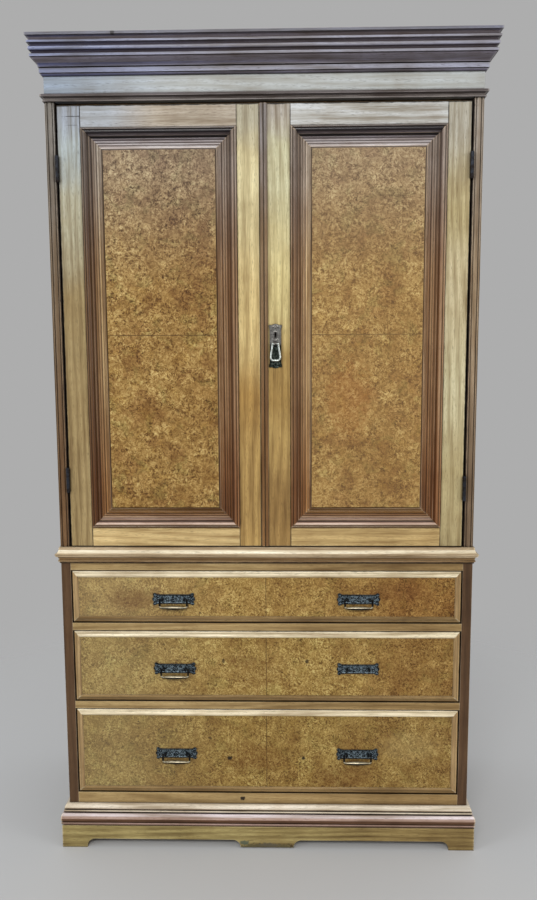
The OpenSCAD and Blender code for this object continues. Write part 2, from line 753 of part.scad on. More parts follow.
// Boards of the frieze: front and sides mitred, the back between the sides
module frieze() {
    e = glue_gap / 2;
    z = [cup_top_z, cornice_z];
    color(pale_ash) {
        intersection() {
            block([-half_w, half_w], [front_y, front_y + frieze_t], z);
            translate([0, 0, z[0] - 1]) linear_extrude(frieze_h + 2) polygon([
                [e - half_w, front_y], [half_w - e, front_y],
                [half_w - frieze_t - e, front_y + frieze_t], [e - half_w + frieze_t, front_y + frieze_t]]);
        }
        both_sides() intersection() {
            block([half_w - frieze_t, half_w], [front_y, back_y], z);
            translate([0, 0, z[0] - 1]) linear_extrude(frieze_h + 2) polygon([
                [half_w, front_y + e], [half_w, back_y], [half_w - frieze_t, back_y],
                [half_w - frieze_t, front_y + frieze_t + e]]);
        }
        block([frieze_t + glue_gap - half_w, half_w - frieze_t - glue_gap], [back_y - frieze_t, back_y], z);
    }
}

module frieze_bead() {
    color(red_brown) surround(section(bead_members, 1, bead_h, bead_out, 0),
        cup_top_z, bead_h, bead_out, 0);
}

module cornice_moulding() {
    color(red_brown) surround(
        section(cornice_members, 1.5, cornice_h, cornice_out, cornice_seat),
        cornice_z, cornice_h, cornice_out, cornice_seat);
}

module dust_board() {
    w = half_w - cornice_seat - glue_gap;
    color(deal) block([-w, w], [front_y + cornice_seat + glue_gap, back_y], [cornice_z, cornice_z + dust_t]);
}

// The tongue of a panel, let into grooves in the stiles and rails
module panel_tongue(d, ease) {
    x = panel_edges[d];
    reach = groove_d - ease;
    block([x[0] - reach, x[1] + reach], [groove_y, groove_y + panel_t],
        [panel_z0 - reach, panel_z1 + reach]);
}

// Tenons of the rails, with a shoulder above and below
module tenons(d) {
    x = panel_edges[d];
    for (z = [[door_z, panel_z0 - groove_d], [panel_z1 + groove_d, door_top_z]])
        block([x[0] - tenon_len, x[1] + tenon_len], [tenon_y, tenon_y + tenon_t],
            [z[0] + tenon_shoulder, z[1] - tenon_shoulder / 2]);
}

module keyhole_outline() {
    circle(keyhole_r);
    translate([-keyhole_slot_w / 2, -keyhole_slot_h]) square([keyhole_slot_w, keyhole_slot_h]);
    translate([0, -keyhole_slot_h]) circle(keyhole_foot_r);
}

module keyhole(y0, y1) {
    translate([keyhole_x, y1, keyhole_z]) rotate([90, 0, 0]) linear_extrude(y1 - y0) keyhole_outline();
}

module door_stiles(d) {
    e = door_edges[d];
    x = panel_edges[d];
    color(ash) difference() {
        union() {
            block([e[0], x[0]], [door_y, door_back_y], [door_z, door_top_z]);
            block([x[1], e[1]], [door_y, door_back_y], [door_z, door_top_z]);
        }
        tenons(d);
        panel_tongue(d, 0);
        if (d == RIGHT) {
            block([-meeting_x - 1, lock_w - meeting_x], [door_back_y - lock_t, door_back_y + 1],
                [lock_z, lock_z + lock_h]);
            keyhole(door_y - 1, door_back_y + 1);
        }
        if (d == LEFT) block([e[1] - lock_throw, e[1] + 1],
            [door_back_y - lock_wall - lock_bolt_t - mortise_play, door_back_y - lock_wall + mortise_play],
            [keyhole_z - lock_bolt_h / 2 - mortise_play, keyhole_z + lock_bolt_h / 2 + mortise_play]);
    }
}

module door_rails(d) {
    x = panel_edges[d];
    color(pale_ash) difference() {
        union() {
            block(x, [door_y, door_back_y], [door_z, panel_z0]);
            block(x, [door_y, door_back_y], [panel_z1, door_top_z]);
            tenons(d);
        }
        panel_tongue(d, 0);
    }
}

// A panel with a raised burr field, loose in its grooves
module door_panel(d) {
    x = panel_edges[d];
    w = panel_mould_w;
    color(burr) union() {
        panel_tongue(d, 1);
        block([x[0] + w, x[1] - w], [door_y + field_recess, groove_y + 1], [panel_z0 + w, panel_z1 - w]);
    }
}

// A round reed w wide that rises from low, from at onwards: [across, height] points
function nose(at, w, low, rise) = [for (i = [0:2 * arc_steps]) let (t = 90 * i / arc_steps)
    [at + w * (1 - cos(t)) / 2, low + rise * sin(t)]];

// Section of the moulding round a panel, from the frame inwards: a bead and a raised
// bolection, a deep quirk, a sunk slope, three reeds, and a cove and a slip at the burr field
function panel_profile(k) = concat(
    [[0, door_y - groove_y], [0, 0.8]],
    quarter_upright([0, 0.8], [3.8 * k, 4.6]),
    [[4.8 * k, 4.2], [4.8 * k, 2.6], [6.4 * k, 2.6], [6.4 * k, 4.4]],
    quarter_upright([6.4 * k, 4.4], [10.6 * k, 8]),
    [[12.4 * k, 8]],
    quarter_level([12.4 * k, 8], [16.4 * k, 2]),
    [[16.4 * k, -3.4], [19.4 * k, -3.4], [19.4 * k, -1]],
    double_curve([19.4 * k, -1], [23.8 * k, -7.6]),
    nose(24.6 * k, 5.6 * k, -7.6, 2.8),
    nose(31.2 * k, 5.6 * k, -7.4, 2.8),
    nose(37.6 * k, 5.6 * k, -7.4, 2.8),
    [[44 * k, -7.6]],
    quarter_level([44 * k, -7.6], [48.6 * k, -4]),
    [[50.4 * k, -4], [50.4 * k, -7.4], [54 * k, -7.4], [54 * k, door_y - groove_y]]);

module door_moulding(d) {
    color(red_brown) mitred_frame(panel_edges[d], door_y, [panel_z0, panel_z1],
        panel_profile(panel_mould_w / 54), panel_mould_w, 20);
}

// Two reeds between quirks, fixed along the closing edge of the right door
module meeting_bead() {
    quirk = 1.2;
    w = (meeting_bead_w - 3 * quirk) / 2;
    low = 0.36 * meeting_bead_t;
    rise = meeting_bead_t - low;
    color(red_brown) translate([-meeting_x, door_y, door_z]) linear_extrude(door_top_z - door_z)
        polygon(concat([[0, 0], [0, -low]], nose(quirk, w, -low, -rise),
            nose(2 * quirk + w, w, -low, -rise), [[meeting_bead_w, -low], [meeting_bead_w, 0]]));
}

// Every other knuckle of a hinge and the leaf beside it; s is 1 for the leaf on the
// carcass side of the pin and -1 for the leaf on the door
module hinge_leaf(s, first, bore_r) {
    pitch = hinge_len / knuckles;
    x = s == 1 ? [hinge_gap / 2 - hinge_leaf_t, hinge_gap / 2] : [-hinge_gap / 2, hinge_leaf_t - hinge_gap / 2];
    difference() {
        union() {
            block(x, [leaf_y - hinge_y, leaf_y - hinge_y + hinge_leaf_w], [0, hinge_len]);
            for (i = [first:2:knuckles - 1]) {
                z = [i * pitch + knuckle_gap / 2, (i + 1) * pitch - knuckle_gap / 2];
                translate([0, 0, z[0]]) cylinder(h = z[1] - z[0], r = knuckle_r);
                block(x, [0, leaf_y - hinge_y + 1], z);
            }
        }
        if (bore_r > 0) translate([0, 0, -1]) cylinder(h = hinge_len + 2, r = bore_r);
    }
}

module at_hinges(d) {
    for (up = hinge_up[d]) translate([0, hinge_y, door_z + up - hinge_len / 2])
        mirror([d == LEFT ? 1 : 0, 0, 0]) translate([hinge_x, 0, 0]) children();
}

module case_hinge_leaves() {
    color(steel) for (d = [LEFT, RIGHT]) at_hinges(d) {
        hinge_leaf(1, 0, 0);
        cylinder(h = hinge_len, d = hinge_pin_d);
    }
}

module door_hinge_leaves(d) {
    color(steel) at_hinges(d) hinge_leaf(-1, 1, hinge_pin_d / 2 + pin_fit);
}

// The lock case is let into the back of the right meeting stile
module lock_case() {
    color(steel) difference() {
        block([-meeting_x, lock_w - meeting_x], [door_back_y - lock_t, door_back_y], [lock_z, lock_z + lock_h]);
        block([-meeting_x - 1, lock_bolt_len + 1 - meeting_x],
            [door_back_y - lock_wall - lock_bolt_t - pin_fit, door_back_y - lock_wall + pin_fit],
            [keyhole_z - lock_bolt_h / 2 - pin_fit, keyhole_z + lock_bolt_h / 2 + pin_fit]);
        keyhole(door_back_y - lock_t - 1, door_back_y - lock_wall);
    }
}

module lock_bolt() {
    color(brass) difference() {
        block([-meeting_x, lock_bolt_len - meeting_x],
            [door_back_y - lock_wall - lock_bolt_t, door_back_y - lock_wall],
            [keyhole_z - lock_bolt_h / 2, keyhole_z + lock_bolt_h / 2]);
        block([keyhole_x - lock_throw, keyhole_x + 4],
            [door_back_y - lock_t, door_back_y], [keyhole_z - lock_bolt_h / 2 - 1, keyhole_z + 4]);
    }
}

// Outline of the escutcheon: a long plate with flared, pointed ends
module escutcheon_outline() {
    w = plate_w / 2;
    h = plate_h / 2;
    end = [[0.88 * w, h - 15], [0.92 * w, h - 10], [w, h - 7], [0.98 * w, h - 3.5], [0.7 * w, h - 3],
        [0.45 * w, h - 3.6], [0.2 * w, h - 1.2], [0, h]];
    half = concat([for (i = [len(end) - 1:-1:0]) [end[i][0], end[i][1]]], [for (q = end) [q[0], -q[1]]]);
    polygon(concat(half, [for (i = [len(half) - 2:-1:1]) [-half[i][0], half[i][1]]]));
}

module escutcheon_plate() {
    z = plate_top_z - plate_h / 2;
    color(bronze) difference() {
        union() {
            translate([keyhole_x, door_y, z]) rotate([90, 0, 0])
                linear_extrude(plate_t) escutcheon_outline();
            translate([keyhole_x - drop_lug_w / 2, drop_y, drop_z]) rotate([0, 90, 0])
                cylinder(h = drop_lug_w, r = drop_lug_r);
            block([keyhole_x - drop_lug_w / 2, keyhole_x + drop_lug_w / 2],
                [drop_y, door_y - plate_t / 2], [drop_z - 3, drop_z + 3]);
        }
        translate([keyhole_x - drop_lug_w, drop_y, drop_z]) rotate([0, 90, 0])
            cylinder(h = 2 * drop_lug_w, r = drop_pin_r + pin_fit);
        keyhole(door_y - plate_t - 1, door_y + 1);
    }
}

// A pear-shaped loop of wire: a flat foot with round corners, two legs that lean in, and
// the pivot pin. Small balls round the kinks between the stretches of wire.
module drop_handle() {
    r = drop_wire_d / 2;
    low = drop_len - r - drop_corner_r;
    lean = atan((drop_r - drop_top) / low);
    flat = drop_r - drop_corner_r;
    color(brass) translate([keyhole_x, drop_y, drop_z]) {
        translate([-flat, 0, -low - drop_corner_r]) rotate([0, 90, 0]) cylinder(h = 2 * flat, r = r);
        both_sides() {
            translate([flat, 0, -low]) rotate([90, 0, 0])
                rotate_extrude(angle = -90) translate([drop_corner_r, 0]) circle(r);
            translate([drop_r, 0, -low]) sphere(r + 0.1);
            translate([drop_r, 0, -low]) rotate([0, -lean, 0]) cylinder(h = low / cos(lean), r = r);
            translate([drop_top, 0, 0]) sphere(r + 0.5);
        }
        translate([-drop_top, 0, 0]) rotate([0, 90, 0]) cylinder(h = 2 * drop_top, r = drop_pin_r);
    }
}

// Level of the free end of each bolt rod, and the way it points
bolt_end_z = [cup_top_z - board_t - bolt_clear, cup_z + board_t + bolt_clear];
module at_bolt(i) {
    translate([bolt_x, 0, bolt_end_z[i]]) mirror([0, 0, i]) children();
}

module bolt_plates() {
    keeper_z = [-keeper_in - keeper_h, -keeper_in - bolt_plate_h + keeper_h + keeper_in];
    color(steel) for (i = [0, 1]) at_bolt(i) difference() {
        union() {
            block([-bolt_plate_w / 2, bolt_plate_w / 2], [door_back_y, door_back_y + plate_t],
                [-bolt_plate_h - keeper_in / 2, -keeper_in / 2]);
            for (z = keeper_z) block([-keeper_w / 2, keeper_w / 2],
                [door_back_y + plate_t / 2, bolt_y + bolt_d / 2 + 3], [z, z + keeper_h]);
        }
        translate([0, bolt_y, -bolt_len]) cylinder(h = bolt_len, r = bolt_d / 2 + pin_fit);
    }
}

module door_bolt(i) {
    color(brass) at_bolt(i) {
        translate([0, bolt_y, -bolt_len]) cylinder(h = bolt_len, d = bolt_d);
        translate([0, bolt_y + bolt_d / 2 - 1, bolt_knob_up - bolt_len + keeper_h]) rotate([-90, 0, 0])
            cylinder(h = bolt_knob_len + 1, d = bolt_knob_d);
    }
}

plinth_front();
plinth_sides();
plinth_back();
plinth_blocks();
plinth_moulding();
chest_sides();
chest_bottom();
chest_top();
chest_back();
drawer_rails();
drawer_runners();
waist_moulding();
drawer_front(1);  // drawer_1_front
drawer_edge_moulding(1);  // drawer_1_edge_moulding
drawer_box(1);  // drawer_1_box
drawer_bottom(1);  // drawer_1_bottom
drawer_handle_plates(1);  // drawer_1_handle_plates
drawer_bail(1, -1);  // drawer_1_bail_left
drawer_bail(1, 1);  // drawer_1_bail_right
drawer_front(2);  // drawer_2_front
drawer_edge_moulding(2);  // drawer_2_edge_moulding
drawer_box(2);  // drawer_2_box
drawer_bottom(2);  // drawer_2_bottom
drawer_handle_plates(2);  // drawer_2_handle_plates
drawer_bail(2, -1);  // drawer_2_bail_left
drawer_front(3);  // drawer_3_front
drawer_edge_moulding(3);  // drawer_3_edge_moulding
drawer_box(3);  // drawer_3_box
drawer_bottom(3);  // drawer_3_bottom
drawer_handle_plates(3);  // drawer_3_handle_plates
drawer_bail(3, -1);  // drawer_3_bail_left
drawer_bail(3, 1);  // drawer_3_bail_right
cupboard_sides();
cupboard_bottom();
cupboard_top();
cupboard_back();
hanging_rail();
frieze();
frieze_bead();
cornice_moulding();
dust_board();
door_stiles(LEFT);  // left_door_stiles
door_rails(LEFT);  // left_door_rails
door_panel(LEFT);  // left_door_panel
door_moulding(LEFT);  // left_door_moulding
door_stiles(RIGHT);  // right_door_stiles
door_rails(RIGHT);  // right_door_rails
door_panel(RIGHT);  // right_door_panel
door_moulding(RIGHT);  // right_door_moulding
meeting_bead();
case_hinge_leaves();
door_hinge_leaves(LEFT);  // left_door_hinge_leaves
door_hinge_leaves(RIGHT);  // right_door_hinge_leaves
lock_case();
lock_bolt();
escutcheon_plate();
drop_handle();
bolt_plates();
door_bolt(0);  // top_bolt
door_bolt(1);  // bottom_bolt
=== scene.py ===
"""Looks of a two-part wardrobe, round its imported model. Metres, +Z up, the front faces -Y."""
import json
import math

import bpy
from mathutils import Matrix, Vector

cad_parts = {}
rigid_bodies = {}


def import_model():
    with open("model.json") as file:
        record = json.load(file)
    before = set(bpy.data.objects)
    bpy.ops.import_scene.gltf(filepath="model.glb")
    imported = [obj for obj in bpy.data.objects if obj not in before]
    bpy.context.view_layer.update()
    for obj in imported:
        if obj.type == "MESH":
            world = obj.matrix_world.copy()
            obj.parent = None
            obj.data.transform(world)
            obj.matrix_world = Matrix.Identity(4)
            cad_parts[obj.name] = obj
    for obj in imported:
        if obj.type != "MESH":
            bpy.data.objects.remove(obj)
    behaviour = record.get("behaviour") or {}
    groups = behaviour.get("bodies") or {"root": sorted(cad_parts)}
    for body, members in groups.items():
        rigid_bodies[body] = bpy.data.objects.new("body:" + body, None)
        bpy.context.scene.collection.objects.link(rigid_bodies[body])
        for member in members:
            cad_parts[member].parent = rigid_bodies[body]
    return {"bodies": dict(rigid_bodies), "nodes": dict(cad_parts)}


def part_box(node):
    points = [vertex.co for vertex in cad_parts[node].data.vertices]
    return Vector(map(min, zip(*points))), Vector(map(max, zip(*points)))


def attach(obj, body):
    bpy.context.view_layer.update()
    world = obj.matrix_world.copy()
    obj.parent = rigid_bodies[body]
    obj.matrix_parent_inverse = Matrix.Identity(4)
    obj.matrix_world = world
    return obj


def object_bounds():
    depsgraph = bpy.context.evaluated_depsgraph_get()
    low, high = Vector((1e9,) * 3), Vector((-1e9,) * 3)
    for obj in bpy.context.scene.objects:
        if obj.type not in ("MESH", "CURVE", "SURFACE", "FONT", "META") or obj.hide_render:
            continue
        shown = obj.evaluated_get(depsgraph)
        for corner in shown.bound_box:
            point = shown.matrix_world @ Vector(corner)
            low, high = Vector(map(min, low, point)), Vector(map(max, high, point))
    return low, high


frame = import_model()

CAD_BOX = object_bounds()
NODES = frame["nodes"]
MM = 0.001


def srgb(r, g, b):
    """A colour written as 0-255 screen values, as the linear colour that shaders take."""
    def linear(c):
        c = min(c, 255) / 255
        return c / 12.92 if c <= 0.04045 else ((c + 0.055) / 1.055) ** 2.4
    return (linear(r), linear(g), linear(b), 1.0)


def shades(r, g, b, spread=0.22):
    """Dark, middle and pale tone of a wood whose mean colour is given. Its dark lines are browner."""
    dark = srgb(r * (1 - 1.2 * spread), g * (1 - 1.4 * spread), b * (1 - 1.7 * spread))
    return [dark, srgb(r, g, b), srgb(r * (1 + 0.7 * spread), g * (1 + 0.8 * spread), b * (1 + spread))]


# Places and lengths that the looks follow. Most come from the boxes of the model's pieces
HALF_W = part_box("chest_sides")[1].x
FRONT_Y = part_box("chest_sides")[0].y
DRAWERS = (1, 2, 3)
DOORS = {side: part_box(side + "_door_moulding") for side in ("left", "right")}
INNER_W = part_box("drawer_rails")[1].x
DOOR_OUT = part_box("right_door_stiles")[1].x
DOOR_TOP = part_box("right_door_stiles")[1].z
PLINTH_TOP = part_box("plinth_moulding")[1].z
CORNICE_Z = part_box("cornice_moulding")[0].z
WAIST_FOOT, WAIST_TOP = (corner.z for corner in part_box("waist_moulding"))
PLINTH_MOULDING_FOOT = PLINTH_TOP - 57 * MM
SEAM_Z = 1.385
PIVOT_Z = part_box("drop_handle")[1].z - 2.7 * MM
BAIL_PIVOT_DOWN = 2.8 * MM
PLATE_T = 1.8 * MM
WITHIN_SIDES = HALF_W - 30 * MM
KEYHOLE = (sum(corner.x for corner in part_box("escutcheon_plate")) / 2, PIVOT_Z + 25 * MM)


class Tree:
    """A material's node tree. The calls add nodes and return the sockets that carry on."""

    def __init__(self, name):
        self.material = bpy.data.materials.new(name)
        self.material.use_nodes = True
        self.nodes = self.material.node_tree.nodes
        self.links = self.material.node_tree.links
        self.bsdf = self.nodes["Principled BSDF"]

    def feed(self, socket, value):
        if isinstance(value, bpy.types.NodeSocket):
            self.links.new(value, socket)
        else:
            socket.default_value = value

    def add(self, kind, inputs=(), **settings):
        node = self.nodes.new("ShaderNode" + kind)
        for key, value in settings.items():
            setattr(node, key, value)
        for key, value in inputs:
            self.feed(node.inputs[key], value)
        return node

    def place(self):
        return self.add("TexCoord").outputs["Object"]

    def split(self, vector):
        node = self.add("SeparateXYZ", [(0, vector)])
        return node.outputs[0], node.outputs[1], node.outputs[2]

    def join(self, x, y, z):
        return self.add("CombineXYZ", [(0, x), (1, y), (2, z)]).outputs[0]

    def math(self, operation, a, b=0.0, c=0.0, clamp=False):
        node = self.add("Math", [(0, a), (1, b), (2, c)], operation=operation)
        node.use_clamp = clamp
        return node.outputs[0]

    def apart(self, value, other):
        return self.math("ABSOLUTE", self.math("SUBTRACT", value, other))

    def stretch(self, vector, factors):
        return self.add("VectorMath", [(0, vector), (1, factors)], operation="MULTIPLY").outputs[0]

    def shift(self, vector, other):
        return self.add("VectorMath", [(0, vector), (1, other)], operation="ADD").outputs[0]

    def noise(self, vector, scale, detail=3.0, rough=0.55, twist=0.0, output="Fac"):
        node = self.add("TexNoise", [("Vector", vector), ("Scale", scale), ("Detail", detail),
                                     ("Roughness", rough), ("Distortion", twist)])
        return node.outputs[output]

    def cells(self, vector, scale):
        return self.add("TexVoronoi", [("Vector", vector), ("Scale", scale)]).outputs["Distance"]

    def ease(self, value, low, high, to_low=0.0, to_high=1.0):
        node = self.add("MapRange", [(0, value), (1, low), (2, high), (3, to_low), (4, to_high)],
                        interpolation_type="SMOOTHSTEP")
        return node.outputs[0]

    def mix(self, factor, a, b, blend="MIX"):
        node = self.add("Mix", [(0, factor), (6, a), (7, b)], data_type="RGBA", blend_type=blend)
        return node.outputs[2]

    def darken(self, factor, colour, share):
        """The colour times a share for red, green and blue, as far as factor goes towards 1."""
        return self.mix(factor, colour, (*share, 1.0), "MULTIPLY")

    def fade(self, colour, saturation, value):
        node = self.add("HueSaturation", [("Saturation", saturation), ("Value", value),
                                          ("Color", colour)])
        return node.outputs[0]

    def between(self, factor, a, b):
        node = self.add("Mix", [(0, factor), (2, a), (3, b)], data_type="FLOAT")
        return node.outputs[0]

    def ramp(self, factor, stops):
        node = self.add("ValToRGB", [(0, factor)])
        elements = node.color_ramp.elements
        while len(elements) < len(stops):
            elements.new(0.5)
        for element, (position, colour) in zip(elements, stops):
            element.position = position
            element.color = colour
        return node.outputs[0]

    def hollows(self, distance, alone=False):
        """1 on open faces, falling to 0 deep in quirks and corners and next to other pieces,
        or, alone, only in those of the piece itself."""
        return self.add("AmbientOcclusion", [("Distance", distance)],
                        samples=8, only_local=alone).outputs["AO"]

    def edges(self, distance):
        """0 on flat faces, rising towards 1 on outer edges of the same piece."""
        inner = self.add("AmbientOcclusion", [("Distance", distance)],
                         samples=8, only_local=True, inside=True).outputs["AO"]
        return self.math("SUBTRACT", 1.0, inner, clamp=True)

    def bump(self, height, strength, distance):
        return self.add("Bump", [("Strength", strength), ("Distance", distance),
                                 ("Height", height)]).outputs[0]

    def dull(self, mask, shine, coat):
        """The shine of old wax, and none where mask is 1. Call it after surface."""
        self.feed(self.bsdf.inputs["Specular IOR Level"], self.between(mask, shine, 0.03))
        self.feed(self.bsdf.inputs["Coat Weight"], self.between(mask, coat, 0.0))

    def surface(self, colour, roughness, normal=None, metallic=0.0, coat=0.0, coat_rough=0.2):
        self.feed(self.bsdf.inputs["Base Color"], colour)
        self.feed(self.bsdf.inputs["Roughness"], roughness)
        self.feed(self.bsdf.inputs["Metallic"], metallic)
        if normal is not None:
            self.feed(self.bsdf.inputs["Normal"], normal)
        if coat:
            self.bsdf.inputs["Coat Weight"].default_value = coat
            self.bsdf.inputs["Coat Roughness"].default_value = coat_rough
        return self.material


# Grain. Each function returns coordinates that run along, across and through the grain.

def grain_straight(t, axis):
    x, y, z = t.split(t.place())
    return {"x": t.join(x, z, y), "y": t.join(y, z, x), "z": t.join(z, x, y)}[axis]


def grain_round_case(t, _):
    """Mitred strips round the case: the grain runs along X in front and along Y at the sides."""
    x, y, z = t.split(t.place())
    out = t.math("ABSOLUTE", x)
    beyond = t.math("GREATER_THAN", t.math("ADD", out, y), HALF_W + FRONT_Y)
    side = t.math("MULTIPLY", beyond, t.math("GREATER_THAN", out, WITHIN_SIDES))
    return t.join(t.between(side, x, y), z, t.between(side, y, x))


def insets(t, box):
    """How far in from the upright and from the level edges of a box, seen from the front."""
    x, _, z = t.split(t.place())
    low, high = box
    from_sides = t.math("SUBTRACT", (high.x - low.x) / 2, t.apart(x, (low.x + high.x) / 2))
    from_ends = t.math("SUBTRACT", (high.z - low.z) / 2, t.apart(z, (low.z + high.z) / 2))
    return from_sides, from_ends


def grain_round_frame(t, box):
    """Mitred strips round a rectangle that faces the front, from its box."""
    x, y, z = t.split(t.place())
    from_sides, from_ends = insets(t, box)
    level = t.math("LESS_THAN", from_ends, from_sides)
    return t.join(t.between(level, z, x), t.between(level, x, z), y)


# Woods

CREAM = (232, 218, 186)
# Dark of grime and small marks, and of painted shade in quirks, corners and gaps
GRIME_AND_SHADE = srgb(22, 13, 8)
# Brown of old dirt in pores, and of broader painted shade near corners and mouldings
OLD_DIRT_AND_SHADE = srgb(54, 36, 20)
BARE_DEAL = [srgb(150, 106, 60), srgb(190, 150, 98), srgb(212, 178, 128)]


def figure(t, run, rings=46.0):
    """Tone from 0 to 1 of straight-grained wood, and the mask of its pores."""
    slow = t.noise(t.stretch(run, (0.8, 5.0, 5.0)), 1.0, 2.0)
    _, across, through = t.split(run)
    phase = t.math("MULTIPLY_ADD", across, rings, t.math("MULTIPLY", slow, 7.0))
    phase = t.math("MULTIPLY_ADD", through, rings * 0.45, phase)
    band = t.math("SINE", t.math("MULTIPLY", phase, 2 * math.pi))
    band = t.math("MULTIPLY_ADD", band, 0.5, 0.5)
    streak = t.noise(t.stretch(run, (5.0, 150.0, 150.0)), 1.0, 5.0, 0.65)
    fine = t.noise(t.stretch(run, (24.0, 700.0, 700.0)), 1.0, 2.0)
    broad = t.noise(run, 5.0, 3.0)
    tone = t.math("MULTIPLY_ADD", band, 0.10, t.math("MULTIPLY", streak, 0.40))
    tone = t.math("MULTIPLY_ADD", fine, 0.24, tone)
    tone = t.math("MULTIPLY_ADD", broad, 0.26, tone)
    pores = t.noise(t.stretch(run, (70.0, 1100.0, 1100.0)), 1.0, 1.0)
    pores = t.math("MULTIPLY", t.ease(pores, 0.58, 0.68), band)
    return tone, pores


def toned(t, tone, colours):
    dark, middle, pale = colours
    return t.ramp(tone, [(0.36, dark), (0.52, middle), (0.66, pale)])


def by_height(t, tone, levels):
    """The wood's tones change slowly with height. levels holds (height, mean colour) upwards."""
    _, _, z = t.split(t.place())
    height = t.math("MULTIPLY_ADD", t.noise(t.place(), 9.0, 3.0), 0.16, t.math("SUBTRACT", z, 0.08))
    colour = toned(t, tone, shades(*levels[0][1]))
    for (low, _), (high, mean) in zip(levels, levels[1:]):
        colour = t.mix(t.ease(height, low, high), colour, toned(t, tone, shades(*mean)))
    return colour


def members(t, level, *ranges):
    """1 at some members of a level moulding, and 0 between. ranges holds the foot and the top of
    each, in millimetres above a level."""
    soft = 1.3 * MM
    _, _, z = t.split(t.place())
    inside = 0.0
    for foot, top in ranges:
        foot, top = level + foot * MM, level + top * MM
        here = t.math("MULTIPLY", t.ease(z, foot - soft, foot + soft),
                      t.ease(z, top + soft, top - soft))
        inside = t.math("MAXIMUM", inside, here)
    return inside


def by_side(t, low_x, high_x, left, right):
    """left colour on the left of low_x, right colour on the right of high_x."""
    x, _, _ = t.split(t.place())
    return t.mix(t.ease(x, low_x, high_x), left, right)


def behind(t, half_width, depth):
    """1 on inner and back faces: within half_width of the middle and deeper than depth."""
    x, y, _ = t.split(t.place())
    inner = t.math("LESS_THAN", t.math("ABSOLUTE", x), half_width)
    return t.math("MULTIPLY", inner, t.math("GREATER_THAN", y, depth))


def line_along(t, colour, distance, width, strength=0.9, tone=GRIME_AND_SHADE):
    """A dark line where distance is near 0: a joint, or painted shade in a gap or under an edge. Its
    width wavers.
    """
    waver = t.math("MULTIPLY", t.math("SUBTRACT", t.noise(t.place(), 45.0, 4.0), 0.5), width * 1.6)
    here = t.ease(t.math("ADD", distance, waver), 0.35 * width, width, strength, 0.0)
    return t.mix(here, colour, tone)


def spot(t, colour, x, z, size, strength=0.85, tone=GRIME_AND_SHADE):
    """A small stain or mark on the front, or painted shade. x and z are its place and size its half
    width and height.
    """
    at_x, _, at_z = t.split(t.place())
    ragged = t.math("MULTIPLY", t.math("SUBTRACT", t.noise(t.place(), 160.0, 3.0), 0.5), 1.4)
    across = t.math("DIVIDE", t.apart(at_x, x), size[0])
    up = t.math("DIVIDE", t.apart(at_z, z), size[1])
    away = t.math("SQRT", t.math("ADD", t.math("MULTIPLY", across, across), t.math("MULTIPLY", up, up)))
    return t.mix(t.ease(t.math("ADD", away, ragged), 0.6, 1.2, strength, 0.0), colour, tone)


def wood(name, paint, grain, where=None, quirk_shade_and_grime=0.8, soil_and_shade=0.35, wear_and_highlight=0.3, reach=2.5 * MM,
         crest=CREAM, rough=0.36, coat=0.12, last=None):
    """A polished wood. paint is a mean colour, or a function of the tree and the grain's tone.
    grain is one of the functions above and where is what it asks for. quirk_shade_and_grime darkens
    quirks and corners with dirt and painted shade, soil_and_shade darkens their wider surroundings with
    old dirt and painted shade, and wear_and_highlight turns outer edges and ridges up to twice reach
    wide to the crest colour, as rubbing and painted highlight. last adds joints, stains and painted
    shade."""
    t = Tree(name)
    tone, pores = figure(t, grain(t, where))
    if callable(paint):
        colour = paint(t, tone)
    else:
        colour = toned(t, tone, shades(*paint))
    patch = t.ease(t.noise(t.place(), 13.0, 4.0, 0.6), 0.42, 0.68, 0.0, 0.22)
    colour = t.darken(patch, colour, (0.55, 0.42, 0.28))
    colour = t.mix(t.math("MULTIPLY", pores, 0.5), colour, OLD_DIRT_AND_SHADE)
    if wear_and_highlight:
        # Rubbing and painted highlight along outer edges and ridges
        worn_and_highlit = t.math("MULTIPLY", t.ease(t.edges(reach), 0.15, 0.60), t.ease(tone, 0.35, 0.6))
        colour = t.mix(t.math("MULTIPLY", worn_and_highlit, wear_and_highlight), colour, srgb(*crest))
    if soil_and_shade:
        # Old dirt and painted shade round quirks and corners
        colour = t.mix(t.ease(t.hollows(20 * MM), 0.45, 0.98, soil_and_shade, 0.0), colour, OLD_DIRT_AND_SHADE)
    # Dirt and painted shade deep in quirks and corners
    shade_and_grime = t.ease(t.hollows(7 * MM), 0.30, 0.95, quirk_shade_and_grime, 0.0)
    colour = t.mix(shade_and_grime, colour, GRIME_AND_SHADE)
    if last:
        colour = last(t, colour)
    height = t.math("SUBTRACT", tone, pores)
    roughness = t.ease(tone, 0.3, 0.7, rough + 0.08, rough - 0.05)
    t.surface(colour, roughness, t.bump(height, 0.35, 0.25 * MM), coat=coat)
    t.dull(shade_and_grime, 0.22, coat)
    return t.material


def deal(name, axis):
    """Bare pine inside and behind: yellow, with knots and a dry surface."""
    t = Tree(name)
    run = grain_straight(t, axis)
    tone, pores = figure(t, run, 60.0)
    colour = t.ramp(tone, [(0.30, BARE_DEAL[0]), (0.5, BARE_DEAL[1]), (0.70, BARE_DEAL[2])])
    knot_at = t.stretch(run, (2.2, 6.0, 6.0))
    colour = t.mix(t.ease(t.cells(knot_at, 1.0), 0.03, 0.09, 0.85, 0.0), colour, srgb(96, 54, 24))
    age = t.noise(t.place(), 4.0, 5.0)
    colour = t.mix(t.ease(age, 0.45, 0.75, 0.0, 0.35), colour, srgb(132, 98, 62))
    # Dirt and painted shade in corners and next to other pieces
    colour = t.mix(t.ease(t.hollows(15 * MM), 0.15, 0.60, 0.95, 0.0), colour, GRIME_AND_SHADE)
    height = t.math("SUBTRACT", tone, pores)
    return t.surface(colour, t.ease(tone, 0.2, 0.8, 0.75, 0.6), t.bump(height, 0.4, 0.3 * MM))


# Burr veneer

BURR_DARK = srgb(84, 54, 20)
BURR_BROWN = srgb(142, 107, 52)
BURR_GOLD = srgb(182, 149, 90)
BURR_PALE = srgb(216, 191, 128)


